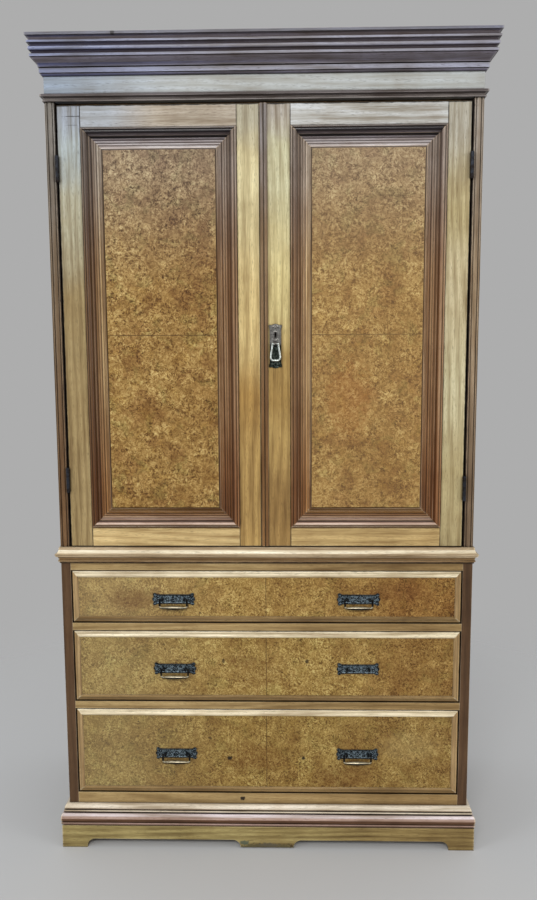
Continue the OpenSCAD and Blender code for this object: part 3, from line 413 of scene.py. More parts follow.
def burr_colour(t, at, clouds, rich, fine):
    """Colour and relief of pippy burr, at coordinates in metres that part the leaves. clouds is
    the same unparted, for large stains. rich is how strongly it's stained, from 0 to 1, and fine
    how many curls it has to the metre."""
    drift = t.noise(at, 30.0, 3.0, 0.6, output="Color")
    drift = t.stretch(t.shift(drift, (-0.5, -0.5, -0.5)), (0.022, 0.022, 0.022))
    curled = t.shift(at, drift)
    swirl = t.noise(curled, fine, 4.0, 0.66, 0.6)
    grit = t.noise(curled, 330.0, 4.0, 0.75)
    busy = t.ease(t.noise(clouds, 26.0, 3.0), 0.38, 0.60, 0.50 + 0.1 * rich, 0.75 + 0.35 * rich)
    tone = t.math("MULTIPLY_ADD", swirl, 0.55, t.math("MULTIPLY", grit, 0.45))
    tone = t.math("MULTIPLY_ADD", t.math("SUBTRACT", tone, 0.5), busy, 0.5)
    colour = t.ramp(tone, [(0.40, BURR_DARK), (0.465, BURR_BROWN), (0.525, BURR_GOLD),
                           (0.61, BURR_PALE)])
    lift = t.ease(tone, 0.40, 0.60)
    stains = ((0.0, 15.0, 0.52, 0.62, 0.60, (82, 48, 18), (158, 112, 56)),
              (5.0, 20.0, 0.53, 0.64, 0.45, (78, 66, 26), (180, 162, 92)),
              (9.0, 34.0, 0.56, 0.66, 0.45, (108, 72, 26), (192, 154, 78)),
              (14.0, 52.0, 0.58, 0.68, 0.50, (60, 40, 14), (124, 94, 48)))
    for apart, scale, low, high, most, dark, pale in stains:
        patch = t.noise(t.shift(clouds, (apart, 0.3 * apart, 0.7 * apart)), scale, 4.0, 0.6, 0.5)
        stained = t.mix(lift, srgb(*dark), srgb(*pale))
        colour = t.mix(t.ease(patch, low, high, 0.0, most * rich), colour, stained)
    cloudy = t.ease(t.noise(clouds, 38.0, 4.0, 0.65), 0.40, 0.60, 0.0, 0.75)
    colour = t.darken(cloudy, colour, (0.70, 0.64, 0.54))
    broad = t.ease(t.noise(clouds, 6.0, 5.0, 0.62, 0.6), 0.42, 0.62, 0.0, 0.62)
    colour = t.darken(broad, colour, (0.66, 0.55, 0.42))
    pips = t.math("MULTIPLY", t.ease(t.cells(curled, 120.0), 0.12, 0.28, 0.8, 0.0),
                  t.ease(t.noise(clouds, 18.0, 3.0), 0.44, 0.62))
    colour = t.mix(pips, colour, BURR_DARK)
    spots = t.ease(t.cells(t.shift(clouds, (3.1, 0.4, 7.7)), 9.0), 0.014, 0.028, 0.85, 0.0)
    colour = t.mix(spots, colour, srgb(44, 22, 8))
    return colour, t.math("SUBTRACT", tone, t.math("MULTIPLY", pips, 0.4))


def burr_face(name, face_y, seam, axis, rich, fine, last):
    """Burr veneer in two leaves on the face, and plain wood behind it. seam is the axis that the
    leaves meet across and the place where they meet."""
    t = Tree(name)
    x, y, z = t.split(t.place())
    across, middle = seam
    beyond = t.math("SUBTRACT", z if across == "z" else x, middle)
    second = t.math("GREATER_THAN", beyond, 0.0)
    leaf = t.shift(t.place(), t.stretch(t.join(second, second, second), (0.43, 0.0, 0.27)))
    colour, relief = burr_colour(t, leaf, t.place(), rich, fine)
    colour = line_along(t, colour, t.math("ABSOLUTE", beyond), 1.6 * MM, 0.7, srgb(64, 40, 16))
    colour = last(t, colour)
    # Old dirt and painted shade near the mouldings round the veneer
    colour = t.mix(t.ease(t.hollows(14 * MM), 0.55, 1.0, 0.55, 0.0), colour, OLD_DIRT_AND_SHADE)
    tone, pores = figure(t, grain_straight(t, axis), 52.0)
    plain = toned(t, tone, BARE_DEAL)
    front = t.math("LESS_THAN", y, face_y + 0.6 * MM)
    colour = t.mix(front, plain, colour)
    height = t.between(front, tone, relief)
    roughness = t.ease(height, 0.3, 0.7, 0.48, 0.36)
    t.bsdf.inputs["Specular IOR Level"].default_value = 0.22
    return t.surface(colour, roughness, t.bump(height, 0.30, 0.25 * MM), coat=0.08, coat_rough=0.28)


# Metals

def keyhole_shade(t, colour):
    """Painted shade: the inside of the keyhole is black."""
    return spot(t, colour, KEYHOLE[0], KEYHOLE[1] - 3 * MM, (3.0 * MM, 7.0 * MM), 1.0, srgb(6, 6, 6))


def bronze(name, lower, upper, wear_and_highlight=0.6, level=0.0):
    """Darkened metal, bright on its high edges from rubbing and painted glints, and black at the
    keyhole with painted shade. lower and upper hold its tone and its bright edge tone below and above a
    level."""
    t = Tree(name)
    _, _, z = t.split(t.place())
    above = t.ease(z, level - 8 * MM, level + 4 * MM)
    cloud = t.noise(t.place(), 90.0, 5.0, 0.6)
    colour = t.mix(above, lower[0], upper[0])
    colour = t.darken(t.ease(cloud, 0.35, 0.7, 0.0, 0.6), colour, (0.45, 0.45, 0.45))
    # Rubbing and painted glints on the high edges
    rubbed_and_glint = t.ease(t.edges(1.2 * MM), 0.12, 0.55, 0.0, wear_and_highlight)
    rubbed_and_glint = t.math("MULTIPLY", rubbed_and_glint, t.ease(t.noise(t.place(), 260.0, 3.0), 0.35, 0.6))
    colour = t.mix(rubbed_and_glint, colour, t.mix(above, lower[1], upper[1]))
    colour = t.mix(t.ease(t.hollows(2 * MM), 0.3, 0.9, 0.75, 0.0), colour, srgb(12, 13, 14))
    colour = keyhole_shade(t, colour)
    roughness = t.ease(cloud, 0.3, 0.7, 0.28, 0.44)
    return t.surface(colour, roughness, t.bump(t.noise(t.place(), 700.0, 4.0), 0.25, 0.15 * MM),
                     metallic=0.85)


def brass(name, tone, stain=srgb(120, 104, 70)):
    t = Tree(name)
    cloud = t.noise(t.place(), 120.0, 5.0, 0.6)
    colour = t.mix(t.ease(cloud, 0.42, 0.72, 0.0, 0.7), tone, stain)
    dirt = t.ease(t.hollows(2 * MM, True), 0.3, 0.9, 0.7, 0.0)
    colour = t.mix(dirt, colour, srgb(24, 20, 14))
    scratches = t.noise(t.stretch(t.place(), (300.0, 300.0, 1800.0)), 1.0, 3.0)
    roughness = t.ease(scratches, 0.3, 0.7, 0.26, 0.40)
    return t.surface(colour, roughness, t.bump(scratches, 0.12, 0.1 * MM), metallic=1.0)


def bail_metal(name, pivot_z):
    """Bails are dark, with a painted highlight along the upper side of the hanging bar, below the
    pivot.
    """
    t = Tree(name)
    _, _, z = t.split(t.place())
    cloud = t.noise(t.place(), 160.0, 4.0)
    waver = t.math("MULTIPLY_ADD", cloud, 2 * MM, z)
    grip_highlight = t.math("MULTIPLY", t.ease(waver, pivot_z - 15 * MM, pivot_z - 16.5 * MM),
                  t.ease(waver, pivot_z - 20.5 * MM, pivot_z - 19 * MM))
    colour = t.mix(grip_highlight, srgb(20, 22, 24), srgb(176, 166, 140))
    colour = t.mix(t.ease(cloud, 0.45, 0.7, 0.0, 0.45), colour, srgb(70, 58, 38))
    return t.surface(colour, t.between(grip_highlight, 0.42, 0.30), metallic=t.between(grip_highlight, 0.9, 0.6))


def iron(name, bare=srgb(104, 100, 92), rust=srgb(70, 52, 38)):
    t = Tree(name)
    cloud = t.noise(t.place(), 70.0, 6.0, 0.65)
    colour = t.mix(t.ease(cloud, 0.4, 0.68), bare, rust)
    roughness = t.ease(cloud, 0.3, 0.7, 0.38, 0.62)
    return t.surface(colour, roughness, t.bump(cloud, 0.3, 0.2 * MM), metallic=0.8)


def dress(material, *nodes):
    """Gives nodes of the model one material in place of their own."""
    for node in nodes:
        obj = NODES[node]
        obj.data.materials.clear()
        obj.data.materials.append(material)


# Mean colours of the woods, which turn greyer upwards with a painted sheen. Heights are metres above
# the floor.

HINGE_STILE = {
    "left": [(1.20, (156, 134, 92)), (1.45, (154, 133, 92)), (1.68, (176, 169, 142)),
             (1.84, (164, 170, 167)), (1.94, (148, 152, 158))],
    "right": [(1.00, (170, 154, 112)), (1.25, (194, 183, 146)), (1.50, (196, 182, 145)),
              (1.70, (184, 168, 124)), (1.92, (178, 172, 156))],
}
MEETING_STILE = {
    "left": [(1.06, (168, 136, 80)), (1.22, (166, 130, 72)), (1.40, (208, 183, 126)),
             (1.80, (212, 198, 152)), (1.94, (176, 168, 144))],
    "right": [(0.98, (146, 115, 66)), (1.10, (170, 140, 84)), (1.25, (162, 130, 74)),
              (1.50, (204, 186, 130)), (1.82, (194, 188, 152)), (1.94, (176, 168, 156))],
}
DOOR_RAIL = {
    "left": [(1.20, (202, 175, 122)), (1.60, (178, 165, 147))],
    "right": [(1.20, (184, 156, 104)), (1.60, (188, 187, 182))],
}
CUPBOARD_SIDE = {
    "left": [(1.0, (108, 80, 52)), (1.5, (118, 98, 74)), (1.9, (124, 118, 110))],
    "right": [(1.0, (118, 98, 76)), (1.5, (156, 134, 106)), (1.9, (156, 144, 130))],
}
MEETING_BEAD = [(1.10, (120, 86, 50)), (1.60, (136, 110, 80)), (1.92, (134, 126, 122))]

# What the burr of each drawer is multiplied by everywhere and at its right end, and the tone
# that it fades to at its left end
DRAWER_TINTS = {
    1: ((0.93, 0.97, 0.92), (0.74, 0.60, 0.50), srgb(156, 146, 114)),
    2: ((0.92, 1.0, 0.96), (0.80, 0.71, 0.66), srgb(134, 126, 98)),
    3: ((0.78, 0.83, 0.75), (0.94, 0.92, 0.95), srgb(134, 126, 98)),
}

# Stains and small dark marks of each drawer: x, height above its middle, half width and height,
# strength and tone
DRAWER_MARKS = {
    1: ((-0.345, -0.004, (0.075, 0.030), 0.40, srgb(84, 44, 22)),
        (0.345, 0.014, (0.080, 0.026), 0.35, srgb(92, 50, 16))),
    2: ((-0.035, -0.020, (0.075, 0.045), 0.28, srgb(100, 60, 20)),
        (-0.061, 0.016, (0.045, 0.016), 0.30, srgb(100, 64, 26)),
        (-0.114, 0.014, (0.004, 0.007), 0.70, GRIME_AND_SHADE),
        (0.108, 0.014, (0.005, 0.006), 0.80, GRIME_AND_SHADE)),
    3: ((-0.035, -0.020, (0.075, 0.045), 0.28, srgb(100, 60, 20)),
        (-0.100, -0.019, (0.007, 0.006), 0.95, GRIME_AND_SHADE),
        (0.099, -0.019, (0.005, 0.006), 0.90, GRIME_AND_SHADE),
        (-0.152, 0.037, (0.005, 0.004), 0.60, GRIME_AND_SHADE),
        (0.200, -0.073, (0.080, 0.035), 0.35, srgb(92, 54, 18)),
        (0.380, 0.015, (0.085, 0.045), 0.16, srgb(176, 156, 104))),
}

MOULDING_W = 54 * MM


def across_moulding(*tones):
    """The stops of a ramp over a panel moulding's width, from millimetres in and the tone there."""
    return [(inset * MM / MOULDING_W, srgb(*tone)) for inset, *tone in tones]


# The strips along the top, foot, left and right of a panel. Their members from the outer edge inwards
# are a bead, a bolection, a deep quirk, a slope, three reeds, a cove and a slip. Their tones paint
# light and shade: pale painted highlights where members face up or forward, and dark painted shade in
# the quirks and where members face down
MOULDING_STRIPS = (
    across_moulding((0, 124, 118, 114), (3, 106, 98, 94), (6.5, 30, 24, 28), (15.6, 26, 20, 26),
                    (17, 184, 172, 178), (18.8, 184, 172, 178), (20.2, 34, 28, 32),
                    (22, 16, 12, 16), (24, 40, 34, 38), (27, 98, 90, 96), (32, 148, 140, 142),
                    (39, 180, 172, 172), (44, 166, 158, 158), (48, 226, 220, 220),
                    (51, 220, 213, 210), (53.5, 124, 112, 104)),
    across_moulding((0, 96, 70, 40), (3.5, 106, 80, 50), (6.5, 92, 66, 40), (9, 166, 138, 114),
                    (12, 228, 206, 190), (14.5, 178, 150, 134), (17.8, 44, 26, 18),
                    (20.5, 134, 106, 88), (24, 182, 156, 140), (28, 160, 130, 102), (33, 142, 106, 70),
                    (37, 104, 66, 26), (41, 128, 92, 46), (46, 100, 66, 22), (49, 118, 82, 34),
                    (52.5, 84, 52, 20)),
    across_moulding((0, 100, 70, 42), (3, 160, 127, 88), (6.5, 112, 82, 55), (10, 138, 106, 72),
                    (14, 102, 72, 46), (18, 176, 140, 104), (22, 122, 88, 58), (28, 142, 110, 74),
                    (33, 180, 146, 104), (36.5, 150, 118, 80), (39.5, 212, 180, 132),
                    (42, 196, 164, 116), (49, 160, 128, 84), (52.5, 98, 68, 36)),
    across_moulding((0, 104, 72, 40), (3.5, 174, 140, 104), (6.5, 124, 92, 60), (11, 172, 138, 104),
                    (15, 122, 86, 54), (18, 138, 96, 60), (22, 128, 94, 62), (28, 150, 114, 80),
                    (33, 166, 132, 94), (37, 118, 82, 50), (42, 148, 114, 78), (49, 150, 114, 76),
                    (52.5, 104, 70, 38)),
)


def paint_carcass():
    def frieze_tones(t, tone):
        # Painted reflection: the frieze is a cool grey, bluer at the left
        blue_sheen = toned(t, tone, shades(151, 163, 178, 0.12))
        colour = by_side(t, -0.54, -0.15, blue_sheen, toned(t, tone, shades(182, 185, 183, 0.12)))
        return t.mix(behind(t, WITHIN_SIDES, 0.0), colour, toned(t, tone, BARE_DEAL))

    def cornice_tones(t, tone):
        """The flat members are pale with a painted reflection, the hollows dark with painted shade, and
        the rest in between.
        """
        flats = members(t, CORNICE_Z, (6.5, 17.5), (40, 46), (55, 63), (71, 76))
        halves = members(t, CORNICE_Z, (28, 40), (76, 83))
        rim = members(t, CORNICE_Z, (86.5, 93))
        dark = by_side(t, -0.56, 0.1, toned(t, tone, shades(76, 78, 104, 0.3)),
                       toned(t, tone, shades(96, 91, 101, 0.3)))
        pale = by_side(t, -0.56, 0.0, toned(t, tone, shades(124, 130, 158, 0.2)),
                       toned(t, tone, shades(146, 145, 157, 0.2)))
        colour = t.mix(flats, dark, pale)
        colour = t.mix(halves, colour, toned(t, tone, shades(110, 104, 112, 0.25)))
        return t.mix(rim, colour, toned(t, tone, shades(112, 112, 124, 0.2)))

    def waist_tones(t, tone):
        # Painted light: a highlight on the nose, the upper members paler and the lower ones darker with
        # painted shade
        nose_highlight = members(t, WAIST_TOP, (-16, -8))
        upper = members(t, WAIST_TOP, (-27, 9))
        colour = t.mix(upper, toned(t, tone, shades(130, 102, 66)),
                       toned(t, tone, shades(174, 152, 120)))
        return t.mix(nose_highlight, colour, toned(t, tone, shades(234, 221, 192)))

    def waist_joint_shadow(t, colour):
        # A dark joint line with painted shadow along the foot of the waist moulding
        _, _, z = t.split(t.place())
        return line_along(t, colour, t.apart(z, WAIST_FOOT), 4 * MM, 0.85)

    def plinth_moulding_tones(t, tone):
        """Dark with painted shade, with a paler tone for each group of members from the foot upwards,
        which paints their light.
        """
        colour = toned(t, tone, shades(90, 62, 42, 0.3))
        for ranges, mean in ((((2.5, 8.5),), (150, 124, 112)),
                             (((20, 27),), (160, 134, 120)),
                             (((27, 34),), (198, 184, 182)),
                             (((38, 41.5), (46, 58)), (200, 187, 166))):
            colour = t.mix(members(t, PLINTH_MOULDING_FOOT, *ranges), colour,
                           toned(t, tone, shades(*mean)))
        return colour

    def plinth_tones(t, tone):
        left = toned(t, tone, shades(142, 126, 80, 0.3))
        return by_side(t, -0.1, 0.5, left, toned(t, tone, shades(130, 109, 66, 0.3)))

    def rail_tones(t, tone):
        return by_side(t, -0.2, 0.4, toned(t, tone, shades(158, 133, 89)),
                       toned(t, tone, shades(138, 112, 71)))

    def side_tones(t, tone):
        """Greyer towards the top with a painted sheen, paler at the right, and reddish inside the
        cupboard.
        """
        left, right = (by_height(t, tone, CUPBOARD_SIDE[side]) for side in ("left", "right"))
        inside = behind(t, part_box("cupboard_sides")[1].x - 10 * MM, FRONT_Y + 40 * MM)
        return t.mix(inside, by_side(t, -0.2, 0.2, left, right), toned(t, tone, shades(150, 112, 72)))

    def foot_marks(t, colour):
        """Dark marks along the bottom edge of the middle foot."""
        for x, z, size, strength, mark in ((0.0, 0.004, (0.10, 0.012), 0.75, srgb(52, 50, 36)),
                                           (-0.061, 0.017, (0.015, 0.007), 0.85, srgb(68, 78, 66)),
                                           (0.007, 0.011, (0.030, 0.007), 0.6, srgb(84, 78, 66)),
                                           (0.066, 0.009, (0.005, 0.004), 0.8, OLD_DIRT_AND_SHADE)):
            colour = spot(t, colour, x, z, size, strength, mark)
        return colour

    def rail_marks(t, colour):
        return spot(t, colour, -0.066, 0.135, (0.008, 0.006), 0.95)

    def cornice_marks(t, colour):
        return spot(t, colour, -0.36, 2.107, (0.006, 0.005))

    def door_gap_shade(t, colour):
        # Painted shade in the gap between the cupboard sides and the doors
        x, _, _ = t.split(t.place())
        inner = t.apart(t.math("ABSOLUTE", x), INNER_W)
        return line_along(t, colour, inner, 3.0 * MM)

    dress(wood("plinth_ash", plinth_tones, grain_round_case, rough=0.42, coat=0.05,
               last=foot_marks), "plinth_front", "plinth_sides")
    dress(wood("plinth_moulding_wood", plinth_moulding_tones, grain_round_case, quirk_shade_and_grime=0.95,
               wear_and_highlight=0.5), "plinth_moulding")
    dress(wood("waist_wood", waist_tones, grain_round_case, quirk_shade_and_grime=0.9, soil_and_shade=0.2, rough=0.30,
               last=waist_joint_shadow), "waist_moulding")
    dress(wood("rail_ash", rail_tones, grain_straight, "x", soil_and_shade=0.6, last=rail_marks),
          "drawer_rails", "chest_top")
    dress(wood("chest_side_wood", (84, 61, 40), grain_straight, "z"), "chest_sides")
    dress(wood("cupboard_side_wood", side_tones, grain_straight, "z", quirk_shade_and_grime=0.9, wear_and_highlight=0.55,
               reach=3 * MM, crest=(190, 172, 148), last=door_gap_shade), "cupboard_sides")
    dress(wood("frieze_ash", frieze_tones, grain_round_case, soil_and_shade=0.5, wear_and_highlight=0.0), "frieze")
    dress(wood("bead_wood", (90, 82, 82), grain_round_case, quirk_shade_and_grime=0.98, soil_and_shade=0.6, wear_and_highlight=0.8,
               reach=3 * MM, crest=(172, 164, 158)), "frieze_bead")
    dress(wood("cornice_wood", cornice_tones, grain_round_case, quirk_shade_and_grime=0.98, soil_and_shade=0.75,
               crest=(186, 182, 186), rough=0.34, last=cornice_marks), "cornice_moulding")
    dress(deal("deal_across", "x"), "plinth_back", "chest_bottom", "cupboard_bottom",
          "cupboard_top", "dust_board")
    dress(deal("deal_upright", "z"), "chest_back", "cupboard_back", "plinth_blocks")
    dress(deal("deal_deep", "y"), "drawer_runners")


def paint_door(side, box):
    low, high = box
    to_right = side == "right"

    def stile_tones(t, tone):
        hinge = by_height(t, tone, HINGE_STILE[side])
        meeting = by_height(t, tone, MEETING_STILE[side])
        middle = (low.x + high.x) / 2
        ends = (meeting, hinge) if to_right else (hinge, meeting)
        return by_side(t, middle - 0.01, middle + 0.01, *ends)

    def rail_tones(t, tone):
        colour = by_height(t, tone, DOOR_RAIL[side])
        if to_right:
            return colour
        x, _, z = t.split(t.place())
        # Painted blue sheen on the upper left of the left door's rails
        blue_sheen = t.math("MULTIPLY", t.ease(x, -0.40, -0.25, 0.8, 0.0), t.ease(z, 1.4, 1.8))
        return t.mix(blue_sheen, colour, toned(t, tone, shades(170, 179, 190, 0.12)))

    def joint_shade_lines(t, colour):
        # Painted shadow under the top of the door, and joint lines with painted shade where the panel
        # moulding meets the rails
        x, _, z = t.split(t.place())
        colour = line_along(t, colour, t.apart(z, DOOR_TOP), 3.4 * MM, 0.97)
        upright = t.math("MINIMUM", t.apart(x, low.x), t.apart(x, high.x))
        colour = line_along(t, colour, upright, 1.5 * MM)
        level = t.math("MINIMUM", t.apart(z, low.z), t.apart(z, high.z))
        return line_along(t, colour, level, 1.6 * MM)

    def stile_marks_and_shade(t, colour):
        x, _, z = t.split(t.place())
        # Joint lines with painted shade beside the panel moulding, and painted shade in the hinge gap
        # and under the top of the door
        upright = t.math("MINIMUM", t.apart(x, low.x), t.apart(x, high.x))
        colour = line_along(t, colour, upright, 1.8 * MM)
        colour = line_along(t, colour, t.apart(t.math("ABSOLUTE", x), DOOR_OUT), 2.2 * MM)
        colour = line_along(t, colour, t.apart(z, DOOR_TOP), 3.4 * MM, 0.97)
        if to_right:
            colour = keyhole_shade(t, colour)
        else:
            colour = spot(t, colour, low.x - 0.012, high.z + 0.027, (0.030, 0.0012), 0.75)
            colour = spot(t, colour, low.x - 0.020, high.z + 0.006, (0.016, 0.0010), 0.5)
        return colour

    def moulding_tones(t, tone):
        """Each strip has its own tones, which paint the light and shade of its members, and the upright
        strips are greyer above with a painted sheen, darker below.
        """
        from_sides, from_ends = insets(t, box)
        x, _, z = t.split(t.place())
        inset = t.math("DIVIDE", t.math("MINIMUM", from_sides, from_ends), MOULDING_W)
        top, foot, left, right = (t.ramp(inset, stops) for stops in MOULDING_STRIPS)
        if not to_right:
            # Painted shade on the left door's strips: its left strip darker in the outer half and
            # towards the field, and a dark band along its right strip
            left = t.darken(t.ease(inset, 0.50, 0.45), left, (0.62, 0.58, 0.55))
            left = t.mix(t.ease(inset, 0.56, 0.66, 0.0, 0.24), left, OLD_DIRT_AND_SHADE)
            right = t.mix(t.ease(t.apart(inset, 0.26), 0.06, 0.03, 0.0, 0.5), right, OLD_DIRT_AND_SHADE)
        inner_foot = t.math("MULTIPLY", t.ease(inset, 0.40, 0.50), t.ease(z, 1.05, 0.90))
        right = t.darken(inner_foot, right, (0.66, 0.62, 0.60))
        upright = t.mix(t.math("GREATER_THAN", x, (low.x + high.x) / 2), left, right)
        # Painted sheen: the upright strips are greyer above
        upright = t.mix(t.ease(z, 1.50, 1.86), upright, t.fade(upright, 0.45, 0.95))
        upright = t.darken(t.ease(z, 1.30, 0.95), upright, (0.72, 0.54, 0.40))
        level = t.mix(t.math("GREATER_THAN", z, (low.z + high.z) / 2), foot, top)
        colour = t.mix(t.math("LESS_THAN", from_ends, from_sides), upright, level)
        return t.darken(t.ease(tone, 0.56, 0.40, 0.0, 0.75), colour, (0.58, 0.50, 0.44))

    def panel_light(t, colour):
        """Greyer towards the top with a painted sheen, and darker at the foot. The right panel is a
        little paler.
        """
        _, _, z = t.split(t.place())
        if to_right:
            colour = t.mix(0.12, colour, srgb(200, 164, 112))
            colour = spot(t, colour, 0.215, 1.22, (0.060, 0.100), 0.28, srgb(150, 88, 36))
        colour = t.darken(t.ease(z, 1.32, 1.05), colour, (0.89, 0.87, 0.83))
        grey = t.fade(colour, 0.74, 0.87) if to_right else t.fade(colour, 0.66, 0.90)
        return t.mix(t.ease(z, 1.45, 1.90, 0.0, 0.9), colour, grey)

    dress(wood(side + "_stile_ash", stile_tones, grain_straight, "z", last=stile_marks_and_shade),
          side + "_door_stiles")
    dress(wood(side + "_rail_ash", rail_tones, grain_straight, "x", last=joint_shade_lines),
          side + "_door_rails")
    dress(wood(side + "_panel_moulding_wood", moulding_tones, grain_round_frame, box, quirk_shade_and_grime=0.42,
               soil_and_shade=0.0, wear_and_highlight=0.45 if to_right else 0.28, reach=3 * MM, crest=(218, 192, 158),
               rough=0.30, coat=0.2), side + "_door_moulding")
    panel = side + "_door_panel"
    dress(burr_face(side + "_burr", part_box(panel)[0].y, ("z", SEAM_Z), "z", 0.9, 140.0, panel_light),
          panel)


def paint_drawer(n):
    front = f"drawer_{n}_front"
    edge = f"drawer_{n}_edge_moulding"
    low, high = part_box(edge)

    def strip_tones(t, tone):
        """The strip along the top is the palest, with a painted highlight, and the one along the foot
        the darkest, with painted shade.
        """
        from_sides, from_ends = insets(t, (low, high))
        _, _, z = t.split(t.place())
        upper = t.math("GREATER_THAN", z, (low.z + high.z) / 2)
        ends = t.mix(upper, toned(t, tone, shades(136, 110, 70)),
                     toned(t, tone, shades(218, 203, 170)))
        level = t.math("LESS_THAN", from_ends, from_sides)
        return t.mix(level, toned(t, tone, shades(168, 140, 98)), ends)

    def strip_gap_shade(t, colour):
        # Painted shade in the gap round the drawer front
        outer = t.math("MINIMUM", *insets(t, (low, high)))
        return line_along(t, colour, outer, 1.9 * MM)

    def warm_right(t, colour):
        """The drawers are greyer at the left and differ in tone at the right, with stains."""
        x, _, _ = t.split(t.place())
        level, far, grey = DRAWER_TINTS[n]
        colour = t.darken(1.0, colour, level)
        colour = t.darken(t.ease(x, 0.12, 0.38), colour, far)
        colour = t.mix(t.ease(x, -0.05, -0.45, 0.0, 0.25), colour, grey)
        for at_x, up, size, strength, mark in DRAWER_MARKS[n]:
            colour = spot(t, colour, at_x, (low.z + high.z) / 2 + up, size, strength, mark)
        return colour

    dress(burr_face(f"drawer_{n}_burr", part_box(front)[0].y, ("x", 0.0), "x", 0.55, 190.0,
                    warm_right), front)
    dress(wood(f"drawer_{n}_edge_wood", strip_tones, grain_round_frame, (low, high), quirk_shade_and_grime=0.9,
               soil_and_shade=0.4, wear_and_highlight=0.5, rough=0.26, last=strip_gap_shade), edge)
    dress(deal(f"drawer_{n}_deal", "y"), f"drawer_{n}_box")
    dress(deal(f"drawer_{n}_bottom_deal", "x"), f"drawer_{n}_bottom")


def paint_metal():
    plate_tone = (srgb(20, 24, 27), srgb(140, 158, 168))
    dark = bronze("dark_bronze", plate_tone, plate_tone, 0.75)
    pewter = bronze("pewter_bronze", (srgb(20, 28, 24), srgb(92, 102, 94)),
                    (srgb(116, 112, 108), srgb(158, 158, 152)), 0.6, PIVOT_Z)
    for n in DRAWERS:
        dress(dark, f"drawer_{n}_handle_plates")
    for body in frame["bodies"]:
        if body.startswith("bail_"):
            node = "drawer_{1}_bail_{2}".format(*body.split("_"))
            pivot_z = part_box(node)[1].z - BAIL_PIVOT_DOWN
            dress(bail_metal(body + "_metal", pivot_z), node)
    dress(pewter, "escutcheon_plate")
    dress(brass("pale_brass", srgb(222, 230, 226), srgb(142, 144, 132)), "drop_handle")
    dress(brass("yellow_brass", srgb(186, 150, 84)), "hanging_rail", "lock_bolt", "top_bolt",
          "bottom_bolt")
    dress(iron("hinge_iron", srgb(50, 54, 62), srgb(34, 26, 22)), "case_hinge_leaves",
          "left_door_hinge_leaves", "right_door_hinge_leaves")
    dress(iron("dull_iron"), "lock_case", "bolt_plates")
    return dark, pewter


# Embossed faces of the drawer handles and of the escutcheon

SKIN_STEP = 0.9 * MM
SKIN_PROUD = 0.1 * MM
SKIN_SUNK = 0.5 * MM


def skin(name, size, reach, height, at, body, material):
    """A thin embossed sheet that faces the front. size is its width and height, and at the middle
    of the plate's face that it lies on. reach(x) is half its height at x, height(x, z) how far it
    stands out, or None where it is open. All in metres."""
    columns, rows = (round(length / SKIN_STEP) for length in size)
    points = {}
    for i in range(columns + 1):
        x = (i / columns - 0.5) * size[0]
        for j in range(rows + 1):
            points[i, j] = (x, (2 * j / rows - 1) * reach(x))
    cells = []
    for i in range(columns):
        for j in range(rows):
            ring = [(i, j), (i + 1, j), (i + 1, j + 1), (i, j + 1)]
            if all(height(*points[p]) is not None for p in ring):
                cells.append(ring)
    used = sorted({p for ring in cells for p in ring})
    front = {p: k for k, p in enumerate(used)}
    sides = {}
    for ring in cells:
        for a, b in zip(ring, ring[1:] + ring[:1]):
            if (b, a) in sides:
                del sides[b, a]
            else:
                sides[a, b] = True
    rim = {p for side in sides for p in side}
    vertices = []
    for p in used:
        x, z = points[p]
        out = SKIN_PROUD if p in rim else SKIN_PROUD + height(x, z)
        vertices.append((at[0] + x, at[1] - out, at[2] + z))
    vertices += [(at[0] + points[p][0], at[1] + SKIN_SUNK, at[2] + points[p][1]) for p in used]
    n = len(used)
    faces = [tuple(front[p] for p in ring) for ring in cells]
    faces += [tuple(n + front[p] for p in reversed(ring)) for ring in cells]
    faces += [(front[b], front[a], n + front[a], n + front[b]) for a, b in sides]
    mesh = bpy.data.meshes.new(name)
    mesh.from_pydata(vertices, [], faces)
    for polygon in mesh.polygons:
        polygon.use_smooth = True
    mesh.materials.append(material)
    obj = bpy.data.objects.new(name, mesh)
    bpy.context.scene.collection.objects.link(obj)
    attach(obj, body)


def hump(value, middle, width):
    """1 where value is middle, falling softly to 0 at width from it."""
    away = min(abs(value - middle) / width, 1.0)
    return 0.5 + 0.5 * math.cos(math.pi * away)


PLATE_W = 113 * MM
POST_X = 29 * MM
EMBOSS = 1.3 * MM


def plate_reach(x):
    """Half height of the embossing on a handle plate, a little inside the plate's outline."""
    flare = min(max((abs(x) - 43 * MM) / (5.2 * MM), 0.0), 1.0)
    return 11.5 * MM + 3.2 * MM * flare


def plate_height(x, z):
    """A raised rim, a rosette in the middle, curls beside it and a fan of leaves at each end."""
    across = abs(x)
    rim = hump(abs(z), plate_reach(x) - 1.3 * MM, 1.3 * MM)
    away = math.hypot(x, z)
    petals = 0.55 + 0.45 * math.cos(8 * math.atan2(z, x))
    rosette = petals * hump(away, 5.2 * MM, 3.4 * MM) + 1.1 * hump(away, 0.0, 2.4 * MM)
    curl_at = math.hypot(across - 16 * MM, abs(z) - 4.6 * MM)
    curl = 0.8 * hump(curl_at, 2.7 * MM, 1.4 * MM) + 0.8 * hump(curl_at, 0.0, 1.1 * MM)
    stem = 0.6 * hump(z, 2.4 * MM * math.sin(across / (3.4 * MM)), 1.2 * MM)
    stem *= 1.0 if 20 * MM < across < 38 * MM else 0.0
    fan_x = PLATE_W / 2 - 7 * MM - across
    fan_r = math.hypot(fan_x, z)
    ribs = 0.5 + 0.5 * math.cos(11 * math.atan2(z, fan_x))
    fan = ribs * hump(fan_r, 7.0 * MM, 6.0 * MM) + hump(fan_r, 0.0, 1.8 * MM)
    clear = min(1.0, max(0.0, math.hypot(across - POST_X, z) / MM - 4.2))
    figure_height = max(rosette, curl, stem, fan) * clear
    return EMBOSS * min(1.0, max(0.75 * rim, 0.9 * figure_height))


